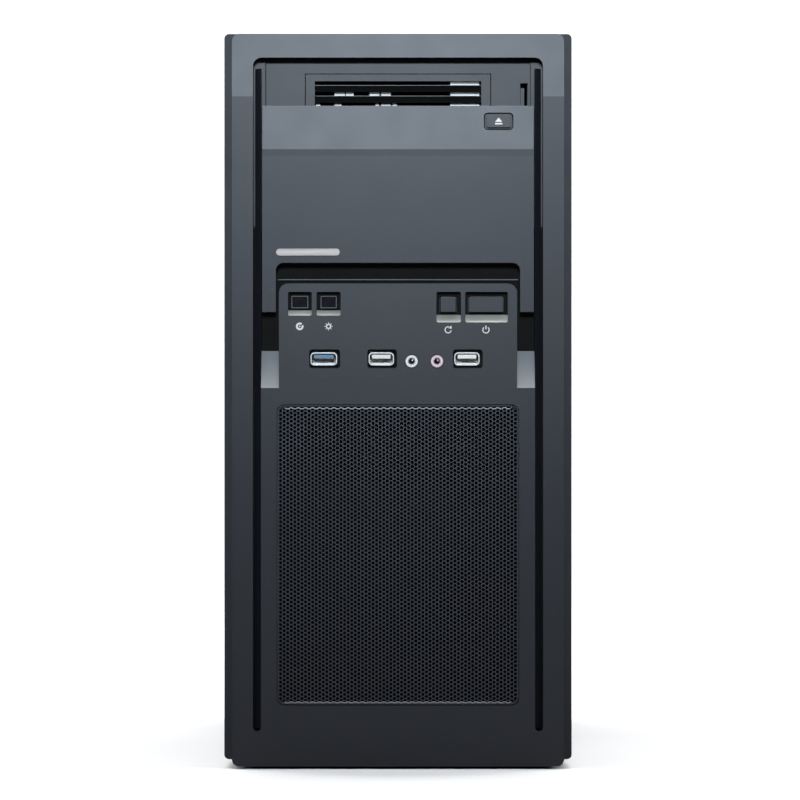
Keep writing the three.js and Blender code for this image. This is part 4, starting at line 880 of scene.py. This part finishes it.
def arm_dot():
    """The small dark dot on the door's left arm."""
    arm_x = DOOR_LOW.x + 5.5 * MM
    mark("arm_dot", [circle(0, 0, 0.8, 16)], "sliding_door", arm_x, BLOCK_TOP - 3.4 * MM, "bore_black")


def window_highlight_rim(window):
    """A thin pale rim round one of the light windows: a painted highlight on its edge."""
    low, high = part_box(window)
    width = 0.3 * MM
    face = front_of(window, *middle_of(window))
    outer = rounded(low.x, high.x, low.z, high.z, 0.5 * MM, 3)
    inner = rounded(low.x + width, high.x - width, low.z + width, high.z - width, 0.3 * MM, 3)
    bm = bmesh.new()
    tube_into(bm, outer, inner, face - 0.15 * MM, face + 0.1 * MM)
    add_piece(window + "_rim", bm, "painted_highlight_line", "chassis")


def recess_ledge():
    """The thin ledge in the recess behind the door, just above the port block, painted pale as the
    highlight along it.
    """
    foot = BLOCK_TOP + 2 * MM
    half = 66 * MM
    bm = bmesh.new()
    box_into(bm, (-half, FRONT_Y + 10.2 * MM, foot), (half, FRONT_Y + 11.6 * MM, foot + 0.6 * MM))
    add_piece("recess_ledge", bm, "painted_highlight_line", "chassis", 0.1 * MM)


LOUVRE_PITCH = 5.85 * MM
LOUVRE_GAP = 1.95 * MM
# Stretches of the louvre's gaps where pale card paints the light showing through.
PAINTED_LIGHT_END = (28.8, 44.7)  # in mm from the middle, as are the spans in each row of the louvre
PAINTED_LIGHT_SPANS = (
    (PAINTED_LIGHT_END,),
    ((-35.0, -29.2), (-28.7, -24.5), (-15.7, -10.3), (-9.2, -4.0), PAINTED_LIGHT_END),
    ((-45.2, -42.8), (-35.0, -31.2), (-12.4, -10.6), (-9.2, -4.0), (-3.0, -0.6), PAINTED_LIGHT_END),
)


def louvre_painted_lights():
    """A pale edge along each slat, a painted highlight, and pale card behind some stretches of the gaps,
    painted light showing through them.
    """
    card_y = INSERT_LOW.y + 4.8 * MM
    edge_y = INSERT_LOW.y + 2.9 * MM
    card = bmesh.new()
    edges = bmesh.new()
    for row, spans in enumerate(PAINTED_LIGHT_SPANS):
        high = LOUVRE_TOP - row * LOUVRE_PITCH
        # Pale card where light shows through the gap: painted light.
        for x0, x1 in spans:
            box_into(card, (x0 * MM, card_y, high - 3 * MM), (x1 * MM, card_y + 0.5 * MM, high))
        # A pale line along the slat's top edge: painted highlight.
        slat = high - LOUVRE_GAP
        box_into(edges, (-LOUVRE_HALF, edge_y, slat - 0.3 * MM), (LOUVRE_HALF, edge_y + 0.3 * MM, slat))
    add_piece("louvre_slat_highlights", edges, "painted_highlight_line", "chassis")
    add_piece("louvre_lit_gap_card", card, "painted_light_card", "chassis")


light_marks()
button_marks()
port_marks()
arm_dot()
window_highlight_rim("drive_led_window")
window_highlight_rim("power_led_window")
recess_ledge()
louvre_painted_lights()


# ---- Floor, backdrop and light ----
def studio_pale():
    """Pale paper that is clear from behind, so that a camera behind the backdrop isn't shut out."""
    nodes = Nodes("studio_pale", (0.6, 0.6, 0.6), 0.9, specular=0.1)
    nodes.vary_color(nodes.noise(3, 2), (0.58, 0.58, 0.58), (0.62, 0.62, 0.62))
    side = nodes.add("ShaderNodeNewGeometry")
    clear = nodes.add("ShaderNodeBsdfTransparent")
    mixed = nodes.add("ShaderNodeMixShader")
    nodes.link(side, "Backfacing", mixed, 0)
    nodes.link(nodes.shader, "BSDF", mixed, 1)
    nodes.link(clear, "BSDF", mixed, 2)
    nodes.link(mixed, "Shader", nodes.tree.nodes["Material Output"], "Surface")
    return nodes.material


def make_stage():
    """A floor that bends up into a backdrop behind the tower."""
    size = 6.0
    rise_at = 2.2
    bend = 1.2
    steps = 12
    profile = [(-size, 0.0), (rise_at, 0.0)]
    for step in range(1, steps + 1):
        angle = math.radians(90 * step / steps)
        profile.append((rise_at + bend * math.sin(angle), bend * (1 - math.cos(angle))))
    profile.append((rise_at + bend, size))
    bm = bmesh.new()
    rows = [[bm.verts.new((x, y, z)) for y, z in profile] for x in (-size, size)]
    for index in range(len(profile) - 1):
        bm.faces.new((rows[0][index], rows[1][index], rows[1][index + 1], rows[0][index + 1]))
    floor = new_object("studio_floor", mesh_from(bm, "studio_floor"), None)
    if floor.data.polygons[0].normal.z < 0:
        floor.data.flip_normals()
    floor.data.materials.append(studio_pale())


def aim(name, data, location, target):
    light = bpy.data.objects.new(name, data)
    light.location = location
    direction = Vector(target) - Vector(location)
    light.rotation_euler = direction.to_track_quat("-Z", "Y").to_euler()
    SCENE.collection.objects.link(light)


def area_light(name, location, target, size, power, color=(1, 1, 1)):
    data = bpy.data.lights.new(name, "AREA")
    data.shape = "RECTANGLE"
    data.size, data.size_y = size
    data.energy = power
    data.color = color
    aim(name, data, location, target)


def spot_light(name, location, target, degrees, radius, power, color=(1, 1, 1)):
    data = bpy.data.lights.new(name, "SPOT")
    data.spot_size = math.radians(degrees)
    data.spot_blend = 1.0
    data.shadow_soft_size = radius
    data.energy = power
    data.color = color
    aim(name, data, location, target)


def make_light():
    """A soft spot on the front's upper half, strips above it, and light behind for the backdrop."""
    world = bpy.data.worlds.new("studio")
    SCENE.world = world
    world.use_nodes = True
    background = world.node_tree.nodes["Background"]
    background.inputs["Color"].default_value = (0.93, 0.96, 1.0, 1)
    background.inputs["Strength"].default_value = 0.04
    cool = (0.76, 0.88, 1.0)
    spot_light("front_spot", (0, FRONT_Y - 2.4, 0.95), (0, FRONT_Y, 0.415), 20, 0.22, 325, cool)
    area_light("overhead", (0, FRONT_Y - 0.75, 1.28), (0, FRONT_Y, 0.3), (1.0, 0.3), 5, cool)
    area_light("top_strip", (0, FRONT_Y - 0.06, 0.60), (0, FRONT_Y - 0.05, 0), (1.7, 0.08), 6)
    area_light("backdrop", (0, 1.2, 2.6), (0, 2.6, 0.2), (4.0, 1.2), 160)
    area_light("floor_behind", (0, 1.2, 1.8), (0, 1.2, 0), (4.0, 1.6), 30)
    for side in (-1, 1):
        area_light("side", (side * 1.7, 0.9, 1.0), (0, 0.1, 0.2), (1.0, 1.0), 30)
    SCENE.view_settings.view_transform = "Standard"


make_stage()
make_light()
